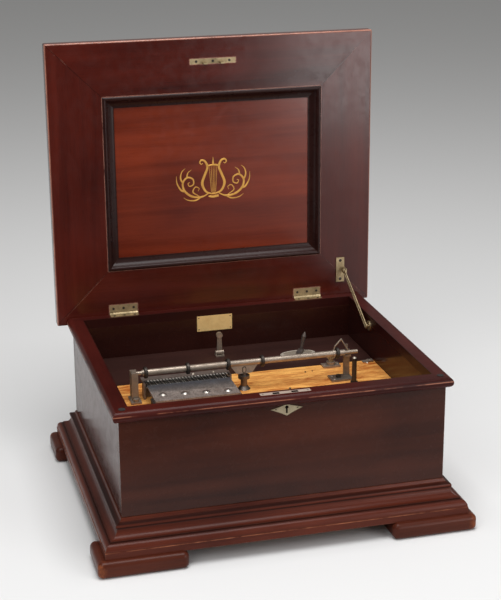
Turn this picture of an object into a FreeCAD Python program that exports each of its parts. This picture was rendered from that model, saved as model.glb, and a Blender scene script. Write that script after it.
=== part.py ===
import FreeCAD, Part
import math
import os

# Wind-up disc music box, table model, lid open. Millimetres, +Z up, front towards -Y.

# Case
body_w = 480.0
body_d = 406.0
wall_t = 16.0
foot_h = 25.0
wall_top = 218.0
board_t = 12.0
rim_t = 15.0
rim_over = 9.0
rim_bulge = 5.0
keyhole_r = 2.6
keyhole_drop = 6.8

# Base moulding, offsets out from the body and heights above its lower face
plinth_out = 30.0
plinth_h = 10.5
quirk = 0.7
torus_out = 22.0
torus_h = 21.0
cove_low_out = 20.5
cove_low_h = 23.0
cove_top_out = 8.7
cove_top_h = 36.5
nose_out = 10.6
nose_h = 39.2
nose_round = 2.6
cap_out = 3.0
cap_h = 44.0
moulding_h = 48.0

# Feet
foot_w = 130.0
foot_d = 78.0
foot_out_x = 42.0
foot_out_y = 39.0
foot_round = 8.0

# Bed and rear shelf
bed_top = 165.0
bed_t = 8.0
shelf_t = 12.0
shelf_d = 125.0
fit_gap = 0.5
cleat_w = 11.0
cleat_h = 14.0

# Lid, sizes as it lies closed
lid_side_over = 24.0
lid_front_over = 33.3
lid_t = 20.0
lid_gap = 1.0
lid_back_edge = 12.2
lid_lean = 0.5
lid_round = 2.4
stile_w = 86.0
front_rail_w = 86.0
back_rail_w = 85.0
panel_t = 7.0
panel_depth = 9.0
panel_mould_w = 19.0
panel_mould_proud = 2.5
panel_mould_bead = 6.0

# Hinges
hinge_in = 84.4
hinge_len = 46.0
hinge_leaf = 12.5
hinge_lid_leaf = 15.5
leaf_t = 1.6
knuckle_r = 3.2
hinge_pin_r = 1.5
hinge_mid = 18.0
hinge_axis_out = 1.0
run_gap = 0.05
side_gap = 0.3

# Lid stay
stay_in = 6.0
stay_rod_r = 1.2
stay_half = 3.2
stay_arm_up = 43.0
stay_pin_drop = 9.0
stud_reach = 120.5
stud_drop = 17.0
stud_r = 1.7
stud_plate_r = 8.0
stay_plate_w = 14.0
stay_plate_off = 4.5
stay_plate_l = 42.0
plate_t = 2.0

# Lock
lock_w = 74.0
lock_t = 9.0
lock_h = 43.0
lock_skin = 2.0
lock_edge = 2.0
staple_x = 13.8
staple_w = 6.0
staple_t = 2.4
staple_l = 8.5
staple_room = 2.0
bolt_w = 54.0
bolt_h = 7.0
bolt_rise = 15.0
bolt_hook_w = 5.0
strike_t = 1.2
strike_w = 8.5
strike_front = 2.5
strike_screw_x = 26.8
escutcheon_w = 47.0
escutcheon_up = 6.6
escutcheon_down = 10.8
escutcheon_t = 1.2

# Disc centre and comb
disc_x = -9.0
disc_y = -2.0
comb_len = 129.0
comb_near = 24.0
tooth_count = 78
slit_w = 0.45
comb_depth = 66.0
comb_t = 4.0
tooth_t = 2.2
comb_z = 185.0
tooth_far = 26.0
tooth_near = 40.0
comb_base_back = 30.0
comb_screw_r = 6.0
comb_screw_back = 13.0
comb_screw_h = 2.6
comb_screw_n = 4

# Star wheels
star_r = 6.5
star_core_r = 3.6
star_points = 8
star_t = 0.8
star_z = 188.0
star_axle_r = 0.9
tip_gap = 0.9
rack_t = 3.0
rack_flange = 13.5
rack_screw_in = 20.0
rack_screw_gap = 32.0

# Spindle
spindle_base_r = 10.0
spindle_base_h = 5.0
spindle_neck_r = 5.0
spindle_collar_r = 9.0
spindle_collar_t = 5.0
spindle_h = 22.5
spindle_pin_r = 4.0
spindle_pin_up = 2.5

# Pressure bar
bar_z = 207.5
bar_r = 4.75
bar_end_r = 3.0
bar_pivot_out = 18.0
bar_neck = 13.0
bar_main_right = 152.7
bar_right = 174.0
bar_eye_r = 4.4
bar_eye_w = 9.0
bar_pin_r = 1.8
roller_r = 9.0
roller_w = 5.0
first_roller_in = 5.0
roller_offsets = (-88.0, -25.0, 29.0, 150.0)
bracket_half = 21.0
bracket_foot_half = 12.0
bracket_shoulder = 4.0
bracket_t = 6.0
bracket_drop = 16.5
bracket_round = 4.0
bracket_eye_r = 3.2
bracket_eye_half = 2.3
bracket_eye_sink = 1.2
bracket_button_r = 2.0
bracket_button_proud = 0.5
loop_wire_r = 1.2
loop_left = 135.5
loop_knee = 137.5
loop_knee_up = 12.0
loop_peak = 147.4
loop_top = 22.5
loop_right = 158.3
loop_clip_w = 4.0
loop_clip_t = 0.8

# Bar posts
post_t = 4.0
post_base_t = 3.0
post_w = 10.0
post_pin_wall = 1.4
post_foot_x = 16.0
post_foot_back = 11.0
post_foot_front = 19.0
post_nut_r = 4.5
post_nut_h = 4.0
rest_post_x = 158.0
rest_post_w = 10.0
rest_strap_t = 3.0
rest_saddle_t = 3.5
rest_rise = 12.0
rest_tip_w = 3.0
rest_base_left = 29.0
rest_base_right = 6.0
rest_base_front = 14.0
rest_base_back = 10.0
rest_nut_left = 15.0
rest_nut_front = 2.0

# Start lever post
lever_x = 160.0
lever_y = -30.0
lever_r = 3.7
lever_h = 39.0
lever_ball_r = 3.6
lever_finger = 16.0

# Edge lever on the shelf
edge_x = -10.0
edge_in = 38.0
edge_pivot_h = 6.0
edge_rise = 29.3
edge_knob_r = 5.0
edge_strap_t = 2.4
edge_pin_r = 1.6
edge_foot_w = 14.0
edge_foot_d = 12.0
edge_ear_r = 3.2
edge_wide = 4.5
edge_narrow = 3.3

# Blank label
label_x0 = -38.0
label_x1 = 21.0
label_z0 = 196.0
label_z1 = 222.0
label_t = 1.0

# Winding train
crank_in_x = 110.5
crank_in_y = 75.0
crank_plate_long = 29.5
crank_plate_short = 14.5
crank_plate_back = 5.0
crank_plate_h = 3.5
crank_plate_rim = 5.0
crank_plate_sink = 1.2
crank_arm_l = 14.3
crank_arm_w = 9.0
crank_arm_t = 3.0
crank_swing = 58.0
crank_handle_r = 2.0
crank_handle_h = 24.0
crank_handle_lean = 12.0
crank_knob_r = 3.75
crank_tip_r = 1.0
crank_tip_h = 7.0
shaft_r = 4.0
tooth_module = 1.5
wind_pinion_n = 12
wind_wheel_n = 40
wheel_t = 5.0
ratchet_r = 24.0
ratchet_root = 21.5
ratchet_n = 24
click_out = 37.0
click_angle = 14.0
click_r = 4.0
click_pin_r = 2.2
ratchet_gap = 2.0

# Spring barrel
great_n = 64
great_t = 6.0
barrel_r = 44.0
barrel_lift = 4.0
barrel_wall = 2.5
barrel_h = 38.0
barrel_floor = 3.0
cover_t = 2.5
arbor_r = 6.0
arbor_hub_r = 8.3
spring_t = 0.7
spring_step = 1.1
spring_margin = 1.5

# Drive and governor
drive_in_x = 75.0
drive_in_y = 134.0
drive_r = 4.0
drive_n = 16
drive_top_n = 10
drive_top_module = 1.1
drive_top_h = 8.0
drive_rise = 14.0
bearing_plate_w = 28.0
bearing_plate_d = 17.0
bearing_boss_r = 7.0
bearing_boss_h = 5.0
fine_module = 1.0
gov_wheel_n = 60
gov_pinion_n = 12
gov_r = 3.0
gov_wheel_t = 4.0
gov_wheel_lift = 4.0
worm_wheel_lift = 30.0
worm_module = 1.25
worm_wheel_n = 30
worm_core_r = 3.2
worm_tip_r = 6.2
worm_pitch_r = 5.25
worm_turns = 5
worm_pivot_r = 2.0
worm_front = 23.0
worm_back = 44.0
fly_r = 15.0
fly_w = 14.0
fly_t = 1.0
fly_y = 30.0
cock_t = 4.0
cock_w = 10.0

# Motor frame
motor_in_x = 18.0
motor_in_y = 19.0
motor_w = 130.0
motor_d = 148.0
motor_low = 66.0
motor_plate_t = 4.0
motor_gap = 70.0
pillar_r = 4.0
pillar_in = 8.0
pillar_front_in = 44.0

# Fasteners and buffers
screw_r = 2.6
screw_h = 1.3
flat_screw_r = 2.0
flat_screw_h = 0.4
slot_share = 0.27
buffer_r = 5.0
buffer_proud = 0.6
buffer_in = 11.0

# Worked out from the sizes above
half_w = body_w / 2
half_d = body_d / 2
in_x = half_w - wall_t
in_y = half_d - wall_t
rim_top = wall_top + rim_t
axis_y = half_d + hinge_axis_out
axis_z = rim_top
lid_face = rim_top + lid_gap
lid_w = body_w + 2 * lid_side_over
lid_y1 = axis_y + lid_back_edge
lid_y0 = -half_d - lid_front_over
hinge_x = half_w - hinge_in
stay_x = in_x - stay_in
stud_y = axis_y - stud_reach
stud_z = rim_top - stud_drop
bed_back = in_y - shelf_d
edge_y = in_y - edge_in
crank_x, crank_y = in_x - crank_in_x, in_y - crank_in_y
drive_x, drive_y = in_x - drive_in_x, in_y - drive_in_y
motor_x1, motor_y1 = in_x - motor_in_x, in_y - motor_in_y
motor_x0, motor_y0 = motor_x1 - motor_w, motor_y1 - motor_d
open_turn = -(90.0 + lid_lean)
lock_y = -(half_d - lock_edge - lock_t / 2)
comb_x1 = disc_x - comb_near
comb_x0 = comb_x1 - comb_len
bar_pivot_x = comb_x0 - bar_pivot_out
bar_main_left = bar_pivot_x + bar_neck
roller_xs = [bar_main_left + first_roller_in] + [disc_x + offset for offset in roller_offsets]
tip_y = disc_y - star_r - tip_gap
tooth_pitch = comb_len / tooth_count
motor_floor = motor_low + motor_plate_t
motor_roof = motor_floor + motor_gap
great_z = motor_floor + barrel_lift
drum_z = great_z + great_t
drum_top = drum_z + barrel_h
ratchet_z = drum_top + cover_t + ratchet_gap
wind_z = ratchet_z + wheel_t + ratchet_gap
gov_wheel_z = drum_top + gov_wheel_lift
worm_wheel_z = motor_floor + worm_wheel_lift
wind_centre = tooth_module * (wind_pinion_n + wind_wheel_n) / 2
drive_centre = tooth_module * (great_n + drive_n) / 2
gov_centre = fine_module * (gov_wheel_n + gov_pinion_n) / 2
worm_pitch = math.pi * worm_module
worm_centre = worm_module * worm_wheel_n / 2 + worm_pitch_r

X = FreeCAD.Vector(1, 0, 0)
Y = FreeCAD.Vector(0, 1, 0)
Z = FreeCAD.Vector(0, 0, 1)


def vec(x, y, z):
    return FreeCAD.Vector(x, y, z)


def box(x0, x1, y0, y1, z0, z1):
    """A block between two corners."""
    return Part.makeBox(x1 - x0, y1 - y0, z1 - z0, vec(x0, y0, z0))


def rod(x, y, z, radius, length, axis=Z):
    """A round bar from a point along an axis."""
    return Part.makeCylinder(radius, length, vec(x, y, z), axis)


def fused(shapes):
    """One solid from several that touch or overlap."""
    return shapes[0].multiFuse(shapes[1:]).removeSplitter()


def save(name, shapes):
    """Writes one node, a single solid or a group of separate solids."""
    group = shapes if isinstance(shapes, list) else [shapes]
    solids = [solid for shape in group for solid in shape.Solids]
    out = solids[0] if len(solids) == 1 else Part.makeCompound(solids)
    out.exportStep("parts/" + name + ".step")


def turned(shape, point, axis, degrees):
    """A copy of the shape turned about an axis through a point."""
    copy = shape.copy()
    copy.rotate(point, axis, degrees)
    return copy


def opened(shapes):
    """Lid pieces, made as they lie closed, swung up to the open rest pose."""
    group = shapes if isinstance(shapes, list) else [shapes]
    return [turned(shape, vec(0, axis_y, axis_z), X, open_turn) for shape in group]


def outline(points):
    """A closed face in the plane of Y and Z; a point of four numbers is an arc through its first two."""
    place = lambda s, z: vec(0, s, z)
    edges = []
    here = place(*points[0])
    for point in points[1:] + points[:1]:
        there = place(*point[-2:])
        if len(point) == 4:
            edges.append(Part.Arc(here, place(*point[:2]), there).toShape())
        elif here.distanceToPoint(there) > 1e-6:
            edges.append(Part.makeLine(here, there))
        here = there
    return Part.Face(Part.Wire(edges))


def prism(points, z0, z1):
    """A straight-sided solid over a plan of points."""
    corners = [vec(x, y, z0) for x, y in points]
    face = Part.Face(Part.makePolygon(corners + corners[:1]))
    return face.extrude(vec(0, 0, z1 - z0))


def mitred_frame(half_x, half_y, centre_y, points):
    """Four mitred lengths of a moulding round a rectangle; the outline runs outwards from its sides."""
    reach = [point[i] for point in points for i in range(0, len(point), 2)]
    low, high = min(reach), max(reach)
    pieces = []
    for turn in range(4):
        along, off = (half_x, half_y) if turn % 2 == 0 else (half_y, half_x)
        length = along + abs(low) + abs(high) + 1.0
        face = outline([tuple(p if i % 2 else -off - p for i, p in enumerate(point)) for point in points])
        face.translate(vec(-length, 0, 0))
        bar = face.extrude(vec(2 * length, 0, 0))
        heights = [v.Z for v in bar.Vertexes]
        plan = [(-along - low, -off - low), (along + low, -off - low),
                (along + high, -off - high), (-along - high, -off - high)]
        mitre = prism(plan, min(heights) - 10.0, max(heights) + 10.0)
        piece = turned(bar.common(mitre), vec(0, 0, 0), Z, 90.0 * turn)
        piece.translate(vec(0, centre_y, 0))
        pieces.append(piece)
    return pieces


def gear(teeth, module, x, y, z, thick, phase, bore):
    """A spur wheel with one tooth centred at the phase angle, and a bore."""
    pitch = 2 * math.pi / teeth
    pitch_r = module * teeth / 2
    flank = ((pitch_r - 1.2 * module, -0.29), (pitch_r, -0.2), (pitch_r + 0.95 * module, -0.1),
             (pitch_r + 0.95 * module, 0.1), (pitch_r, 0.2), (pitch_r - 1.2 * module, 0.29))
    points = []
    for tooth in range(teeth):
        middle = math.radians(phase) + tooth * pitch
        for radius, share in flank:
            angle = middle + share * pitch
            points.append((x + radius * math.cos(angle), y + radius * math.sin(angle)))
    wheel = prism(points, z, z + thick)
    return wheel.cut(rod(x, y, z - 1, bore, thick + 2))


def crossed_out(wheel, x, y, z, thick, ring_r, hole_r, holes):
    """A wheel lightened by a ring of round holes."""
    for hole in range(holes):
        angle = 2 * math.pi * hole / holes
        wheel = wheel.cut(rod(x + ring_r * math.cos(angle), y + ring_r * math.sin(angle),
                              z - 1, hole_r, thick + 2))
    return wheel


def screw_head(x, y, z, radius=screw_r, height=screw_h, turn=0.0):
    """A domed slotted head standing on a face that looks up."""
    ball_r = (radius ** 2 + height ** 2) / (2 * height)
    ball = Part.makeSphere(ball_r, vec(x, y, z + height - ball_r))
    head = ball.common(rod(x, y, z, radius * 2, height * 2))
    wide = radius * slot_share
    slot = box(x - radius, x + radius, y - wide / 2, y + wide / 2, z + height * 0.5, z + height * 2)
    return head.cut(turned(slot, vec(x, y, z), Z, turn))


def flat_head(x, y, z, turn):
    """A low flat slotted head standing on a hinge leaf that looks up."""
    wide = flat_screw_r * slot_share
    slot = box(x - flat_screw_r, x + flat_screw_r, y - wide / 2, y + wide / 2, z + flat_screw_h / 2,
               z + flat_screw_h)
    return rod(x, y, z, flat_screw_r, flat_screw_h).cut(turned(slot, vec(x, y, z), Z, turn))


def facing(shape, x, y, z, axis, degrees):
    """A head made at a point and turned to stand on another face there."""
    return turned(shape, vec(x, y, z), axis, degrees)


def point_between(p, q, from_p, from_q):
    """The point at given distances from two others, on the right-hand side of the line from p to q."""
    dx, dy = q[0] - p[0], q[1] - p[1]
    gap = math.hypot(dx, dy)
    along = (from_p ** 2 - from_q ** 2 + gap ** 2) / (2 * gap)
    aside = math.sqrt(from_p ** 2 - along ** 2)
    ux, uy = dx / gap, dy / gap
    return p[0] + along * ux - aside * uy, p[1] + along * uy + aside * ux


def bearing(p, q):
    """The direction from one point to another, in degrees."""
    return math.degrees(math.atan2(q[1] - p[1], q[0] - p[0]))


barrel_at = point_between((crank_x, crank_y), (drive_x, drive_y), wind_centre, drive_centre)
gov_at = (drive_x - gov_centre, drive_y)
worm_x = gov_at[0] - worm_centre
worm_z = worm_wheel_z + gov_wheel_t / 2
hinge_xs = (-hinge_x, hinge_x)


# Case

def hinge_channels():
    """The hollows that the hinge knuckles need in the case and the lid."""
    long = hinge_len + 2 * side_gap
    return [rod(x - long / 2, axis_y, axis_z, knuckle_r + side_gap, long, X) for x in hinge_xs]


def lock_block(grow=0.0):
    """The space that the lock fills in the front wall and rim."""
    return box(-lock_w / 2 - grow, lock_w / 2 + grow, lock_y - lock_t / 2, lock_y + lock_t / 2,
               rim_top - lock_h, rim_top)


def keyhole(y0, y1):
    """A keyhole through the front, round above and slotted below."""
    z = wall_top - keyhole_drop
    eye_z = z + 0.75 * keyhole_r
    top = rod(0, y0, eye_z, keyhole_r, y1 - y0, Y)
    return top.fuse(box(-keyhole_r / 2, keyhole_r / 2, y0, y1, z - 2.8 * keyhole_r, eye_z))


def case():
    front = box(-half_w, half_w, -half_d, -in_y, foot_h, wall_top)
    save("front_wall", front.cut(lock_block()).cut(keyhole(-half_d - 1, lock_y)))
    back = box(-half_w, half_w, in_y, half_d, foot_h, wall_top)
    save("back_wall", back)
    save("side_walls",
         [box(side * half_w - (wall_t if side > 0 else 0), side * half_w + (0 if side > 0 else wall_t),
                            -in_y, in_y, foot_h, wall_top) for side in (-1, 1)])
    save("bottom_board", box(-in_x, in_x, -in_y, in_y, foot_h, foot_h + board_t))
    edge = wall_t + rim_over
    flat = edge - rim_bulge
    rim = mitred_frame(in_x, in_y, 0, [
        (0, wall_top), (flat, wall_top), (edge, wall_top + rim_t / 2, flat, rim_top), (0, rim_top)])
    behind = box(-body_w, body_w, half_d, body_d, 0, 2 * rim_top)
    leaves = [box(x - hinge_len / 2, x + hinge_len / 2, axis_y - hinge_leaf, axis_y, rim_top - leaf_t,
                  rim_top + 1)
              for x in hinge_xs]
    buffers = [rod(x, y, rim_top - 2, buffer_r, 2 + buffer_proud) for x, y in buffer_places()]
    cuts = [behind, lock_block()] + leaves + hinge_channels() + buffers
    save("top_rim", [cut_all(piece, cuts) for piece in rim])
    save("rim_buffers", buffers)
    bow = (cove_low_out - cove_top_out) / math.sqrt(2)
    moulding = [(0, foot_h), (plinth_out, foot_h), (plinth_out, foot_h + plinth_h),
                (plinth_out - quirk, foot_h + plinth_h), (plinth_out - quirk, foot_h + plinth_h + quirk),
                (plinth_out - 2.6, foot_h + torus_h - 3.6, torus_out, foot_h + torus_h),
                (cove_low_out, foot_h + torus_h), (cove_low_out, foot_h + cove_low_h),
                (cove_low_out - bow, foot_h + cove_top_h - bow * 1.15, cove_top_out, foot_h + cove_top_h),
                (nose_out - 1, foot_h + nose_h - nose_round),
                (nose_out, foot_h + nose_h, nose_out - 1, foot_h + nose_h + nose_round),
                (cap_out, foot_h + cap_h), (cap_out / 2, foot_h + moulding_h), (0, foot_h + moulding_h)]
    save("base_moulding", mitred_frame(half_w, half_d, 0, moulding))
    feet = []
    for side in (-1, 1):
        for end in (-1, 1):
            x = side * (half_w + foot_out_x - foot_w / 2)
            y = end * (half_d + foot_out_y - foot_d / 2)
            foot = box(x - foot_w / 2, x + foot_w / 2, y - foot_d / 2, y + foot_d / 2, 0, foot_h)
            feet.append(foot.makeFillet(foot_round, foot.Edges))
    save("corner_feet", feet)


def cut_all(shape, tools):
    """The shape with every tool cut away."""
    for tool in tools:
        shape = shape.cut(tool)
    return shape


def buffer_places():
    """The two front corners of the rim."""
    x = in_x + wall_t - buffer_in + rim_over / 2
    return [(side * x, -(in_y + wall_t - buffer_in + rim_over / 2)) for side in (-1, 1)]


def cleats():
    under = bed_top - bed_t
    strips = [box(side * in_x - (cleat_w if side > 0 else 0), side * in_x + (0 if side > 0 else cleat_w),
                  -in_y + cleat_w, bed_back, under - cleat_h, under) for side in (-1, 1)]
    strips.append(box(-in_x, in_x, -in_y, -in_y + cleat_w, under - cleat_h, under))
    shelf_under = bed_top - shelf_t
    strips += [box(side * in_x - (cleat_w if side > 0 else 0), side * in_x + (0 if side > 0 else cleat_w),
                   bed_back + fit_gap, in_y - cleat_w, shelf_under - cleat_h,
                   shelf_under) for side in (-1, 1)]
    strips.append(box(-in_x, in_x, in_y - cleat_w, in_y, shelf_under - cleat_h, shelf_under))
    save("bed_cleats", strips)


def bed_and_shelf():
    bed = box(-in_x + fit_gap, in_x - fit_gap, -in_y + fit_gap, bed_back, bed_top - bed_t, bed_top)
    bed = cut_all(bed, [rod(drive_x, drive_y, bed_top - bed_t - 1, drive_r + run_gap, bed_t + 2),
                        rod(lever_x, lever_y, bed_top - bed_t - 1, lever_r + run_gap, bed_t + 2)])
    save("bedplate", bed)
    shelf = box(-in_x + fit_gap, in_x - fit_gap, bed_back + fit_gap, in_y - fit_gap, bed_top - shelf_t,
                bed_top)
    save("rear_shelf",
         shelf.cut(rod(crank_x, crank_y, bed_top - shelf_t - 1, shaft_r + run_gap, shelf_t + 2)))


def case_fittings():
    label = box(label_x0, label_x1, in_y - label_t, in_y, label_z0, label_z1)
    save("label_plate", label)
    half = escutcheon_w / 2
    curve = [(half, 0), (half * 0.5, 0.44), (half * 0.25, 0.7), (0, 1.0)]
    shares = curve + [(-x, share) for x, share in curve[-2::-1]]
    upper = [(x, share * escutcheon_up) for x, share in shares]
    lower = [(x, -share * escutcheon_down) for x, share in shares[-2:0:-1]]
    plate = prism(upper + lower, 0, escutcheon_t)
    plate.rotate(vec(0, 0, 0), X, 90)
    plate.translate(vec(0, -half_d, wall_top - keyhole_drop))
    save("keyhole_escutcheon", plate.cut(keyhole(-half_d - 2 * escutcheon_t, -half_d + 1)))
    inside = box(-lock_w / 2 + lock_skin, lock_w / 2 - lock_skin, lock_y - lock_t / 2 + lock_skin,
                 lock_y + lock_t / 2 - lock_skin, rim_top - lock_h + lock_skin, rim_top - lock_skin)
    slots = [box(side * staple_x - staple_w / 2 - staple_room, side * staple_x + staple_w / 2 + staple_room,
                 lock_y - staple_t / 2 - staple_room, lock_y + staple_t / 2 + staple_room,
                 rim_top - lock_skin - 1, rim_top + 1) for side in (-1, 1)]
    save("lock_body", cut_all(lock_block(), [inside, keyhole(lock_y - lock_t, lock_y)] + slots))
    bolt_z = rim_top - lock_h + lock_skin
    thick = lock_t / 2 - lock_skin - side_gap
    bolt = [box(-bolt_w / 2, bolt_w / 2, lock_y - thick, lock_y + thick, bolt_z + side_gap, bolt_z + bolt_h)]
    for side in (-1, 1):
        x = side * staple_x - staple_w
        bolt.append(box(x - bolt_hook_w / 2, x + bolt_hook_w / 2, lock_y - thick, lock_y + thick,
                        bolt_z + side_gap, bolt_z + bolt_h + bolt_rise))
    save("lock_bolt", fused(bolt))
    stud = rod(in_x - plate_t, stud_y, stud_z, stud_plate_r, plate_t, X)
    tip = stay_x + stay_rod_r + side_gap
    save("stay_stud", fused([stud, rod(tip, stud_y, stud_z, stud_r, in_x - plate_t - tip, X)]))
    leaves = []
    pins = []
    for x in hinge_xs:
        plate = box(x - hinge_len / 2, x + hinge_len / 2, axis_y - hinge_leaf, axis_y, rim_top - leaf_t,
                    rim_top)
        barrel = rod(x - hinge_len / 2, axis_y, axis_z, knuckle_r, hinge_len, X)
        room = hinge_mid / 2 + side_gap
        middle = box(x - room, x + room, axis_y - knuckle_r - side_gap, axis_y + knuckle_r + 1,
                     axis_z - knuckle_r - 1, axis_z + knuckle_r + 1)
        bore = rod(x - hinge_len, axis_y, axis_z, hinge_pin_r + run_gap, 2 * hinge_len, X)
        leaves.append(fused([plate, barrel]).cut(middle).cut(bore))
        pins.append(rod(x - hinge_len / 2, axis_y, axis_z, hinge_pin_r, hinge_len, X))
    save("hinge_case_leaves", leaves)
    save("hinge_pins", pins)


def case_screws():
    heads = [flat_head(x + step * hinge_len * 0.36, axis_y - hinge_leaf * 0.6, rim_top, 30 * step)
             for x in hinge_xs for step in (-1, 0, 1)]
    for side in (-1, 1):
        for y in (-in_y + 14, bed_back - 10):
            heads.append(screw_head(side * (in_x - 14), y, bed_top, turn=40 * side))
    for x in (comb_x1 - rack_screw_in, comb_x1 - rack_screw_in - rack_screw_gap):
        heads.append(screw_head(x, disc_y + star_r + 1 + rack_t + rack_flange / 2, star_z + rack_t, turn=25))
    for x in (label_x0 + 3, label_x1 - 3):
        for z in (label_z0 + 3, label_z1 - 3):
            pin = screw_head(x, in_y - label_t, z, 1.0, 0.6)
            heads.append(facing(pin, x, in_y - label_t, z, X, 90))
    for x in (-1, 1):
        at = x * escutcheon_w * 0.34
        z = wall_top - keyhole_drop
        pin = screw_head(at, -half_d - escutcheon_t, z, 1.0, 0.6)
        heads.append(facing(pin, at, -half_d - escutcheon_t, z, X, 90))
    save("case_screws", heads)


# Lid, made as it lies closed

def lid():
    z0, z1 = lid_face, lid_face + lid_t
    half = lid_w / 2
    block = box(-half, half, lid_y0, lid_y1, z0, z1)
    block = block.makeFillet(lid_round, block.Edges)
    in_left, in_right = -half + stile_w, half - stile_w
    in_front, in_back = lid_y0 + front_rail_w, lid_y1 - back_rail_w
    outer = [(-half, lid_y0), (half, lid_y0), (half, lid_y1), (-half, lid_y1)]
    inner = [(in_left, in_front), (in_right, in_front), (in_right, in_back), (in_left, in_back)]
    leaves = [box(x - hinge_len / 2, x + hinge_len / 2, axis_y - hinge_lid_leaf, axis_y, z0 - 1, z0 + leaf_t)
              for x in hinge_xs]
    strike_y = lock_y - strike_front
    strike = box(-lock_w / 2, lock_w / 2, strike_y - strike_w / 2, strike_y + strike_w / 2, z0 - 1,
                 z0 + strike_t)
    frame = []
    for i in range(4):
        j = (i + 1) % 4
        piece = prism([outer[i], outer[j], inner[j], inner[i]], z0 - 1, z1 + 1).common(block)
        frame.append(cut_all(piece, leaves + hinge_channels() + [strike]))
    save("lid_frame", opened(frame))
    panel_z = z0 + panel_depth
    save("lid_panel", opened(box(in_left, in_right, in_front, in_back, panel_z, panel_z + panel_t)))
    face = z0 - panel_mould_proud
    deep = panel_mould_w - panel_mould_bead
    ring = mitred_frame(in_right, (in_back - in_front) / 2, (in_back + in_front) / 2, [
        (0, panel_z), (-panel_mould_w, panel_z), (-panel_mould_w, panel_z - 1.5),
        (-panel_mould_bead - deep * 0.4, panel_z - 3.5, -panel_mould_bead, face + 1.5),
        (-panel_mould_bead / 2, face, 0, face + 1.5)])
    save("lid_moulding", opened(ring))
    plate = box(-lock_w / 2, lock_w / 2, strike_y - strike_w / 2, strike_y + strike_w / 2, z0, z0 + strike_t)
    tabs = [box(side * staple_x - staple_w / 2, side * staple_x + staple_w / 2, lock_y - staple_t / 2,
                lock_y + staple_t / 2, z0 - staple_l, z0 + strike_t) for side in (-1, 1)]
    eyes = [rod(side * staple_x, lock_y - staple_t, z0 - staple_l / 2, staple_l * 0.28, 2 * staple_t, Y)
            for side in (-1, 1)]
    save("strike_plate", opened(cut_all(fused([plate] + tabs), eyes)))
    leaf_solids = []
    for x in hinge_xs:
        wing = box(x - hinge_len / 2, x + hinge_len / 2, axis_y - hinge_lid_leaf,
                   axis_y - knuckle_r - side_gap, z0, z0 + leaf_t)
        neck = box(x - hinge_mid / 2, x + hinge_mid / 2, axis_y - hinge_lid_leaf, axis_y, z0, z0 + leaf_t)
        barrel = rod(x - hinge_mid / 2, axis_y, axis_z, knuckle_r, hinge_mid, X)
        bore = rod(x - hinge_len, axis_y, axis_z, hinge_pin_r + run_gap, 2 * hinge_len, X)
        leaf_solids.append(fused([wing, neck, barrel]).cut(bore))
    save("hinge_lid_leaves", opened(leaf_solids))
    pin_y = axis_y - stay_arm_up
    pin_z = z0 - stay_pin_drop
    ear_x = stay_x + stay_rod_r + side_gap
    plate_x = stay_x - stay_plate_off
    plate = box(plate_x - stay_plate_w / 2, plate_x + stay_plate_w / 2, pin_y - stay_plate_l / 2,
                pin_y + stay_plate_l / 2, z0 - plate_t, z0)
    ear = box(ear_x, ear_x + plate_t, pin_y - stud_r - 2, pin_y + stud_r + 2, pin_z - stud_r - 2, z0)
    pin = rod(stay_x - stay_rod_r - 2 * side_gap, pin_y, pin_z, stud_r,
              ear_x - stay_x + stay_rod_r + 2 * side_gap, X)
    cap = rod(stay_x - stay_rod_r - side_gap - plate_t / 2, pin_y, pin_z, stay_half + stay_rod_r / 2,
              plate_t / 2, X)
    save("stay_plate", opened(fused([plate, ear, pin, cap])))
    heads = []
    for x in hinge_xs:
        for step in (-1, 0, 1):
            at = (x + step * hinge_len * 0.36, axis_y - hinge_lid_leaf * 0.6, z0)
            heads.append(facing(flat_head(*at, 20 * step), *at, X, 180))
    for step in (-1, 0, 1):
        at = (step * strike_screw_x, strike_y, z0)
        heads.append(facing(flat_head(*at, 35 * step), *at, X, 180))
    for step in (-1, 1):
        at = (plate_x, pin_y + step * stay_plate_l * 0.38, z0 - plate_t)
        heads.append(facing(screw_head(*at), *at, X, 180))
    save("lid_screws", opened(heads))


def stay():
    """A long wire link from the lid pin down to the wall stud."""
    turn = math.radians(open_turn)
    dy, dz = -stay_arm_up, lid_gap - stay_pin_drop
    top_y = axis_y + dy * math.cos(turn) - dz * math.sin(turn)
    top_z = axis_z + dy * math.sin(turn) + dz * math.cos(turn)
    long = math.hypot(top_y - stud_y, top_z - stud_z)
    sides = [rod(stay_x, top_y - long, top_z + side * stay_half, stay_rod_r, long, Y) for side in (-1, 1)]
    bends = []
    for end, side in ((top_y, 1), (top_y - long, -1)):
        ring = Part.makeTorus(stay_half, stay_rod_r, vec(stay_x, end, top_z), X)
        far = end + side * 2 * stay_half
        bends.append(ring.common(box(stay_x - stay_half, stay_x + stay_half, min(end, far), max(end, far),
                                     top_z - 2 * stay_half, top_z + 2 * stay_half)))
    link = fused(sides + bends)
    lean = math.degrees(math.atan2(stud_z - top_z, stud_y - top_y)) - 180.0
    save("stay_arm", turned(link, vec(stay_x, top_y, top_z), X, lean))


# Comb and star wheels

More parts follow.
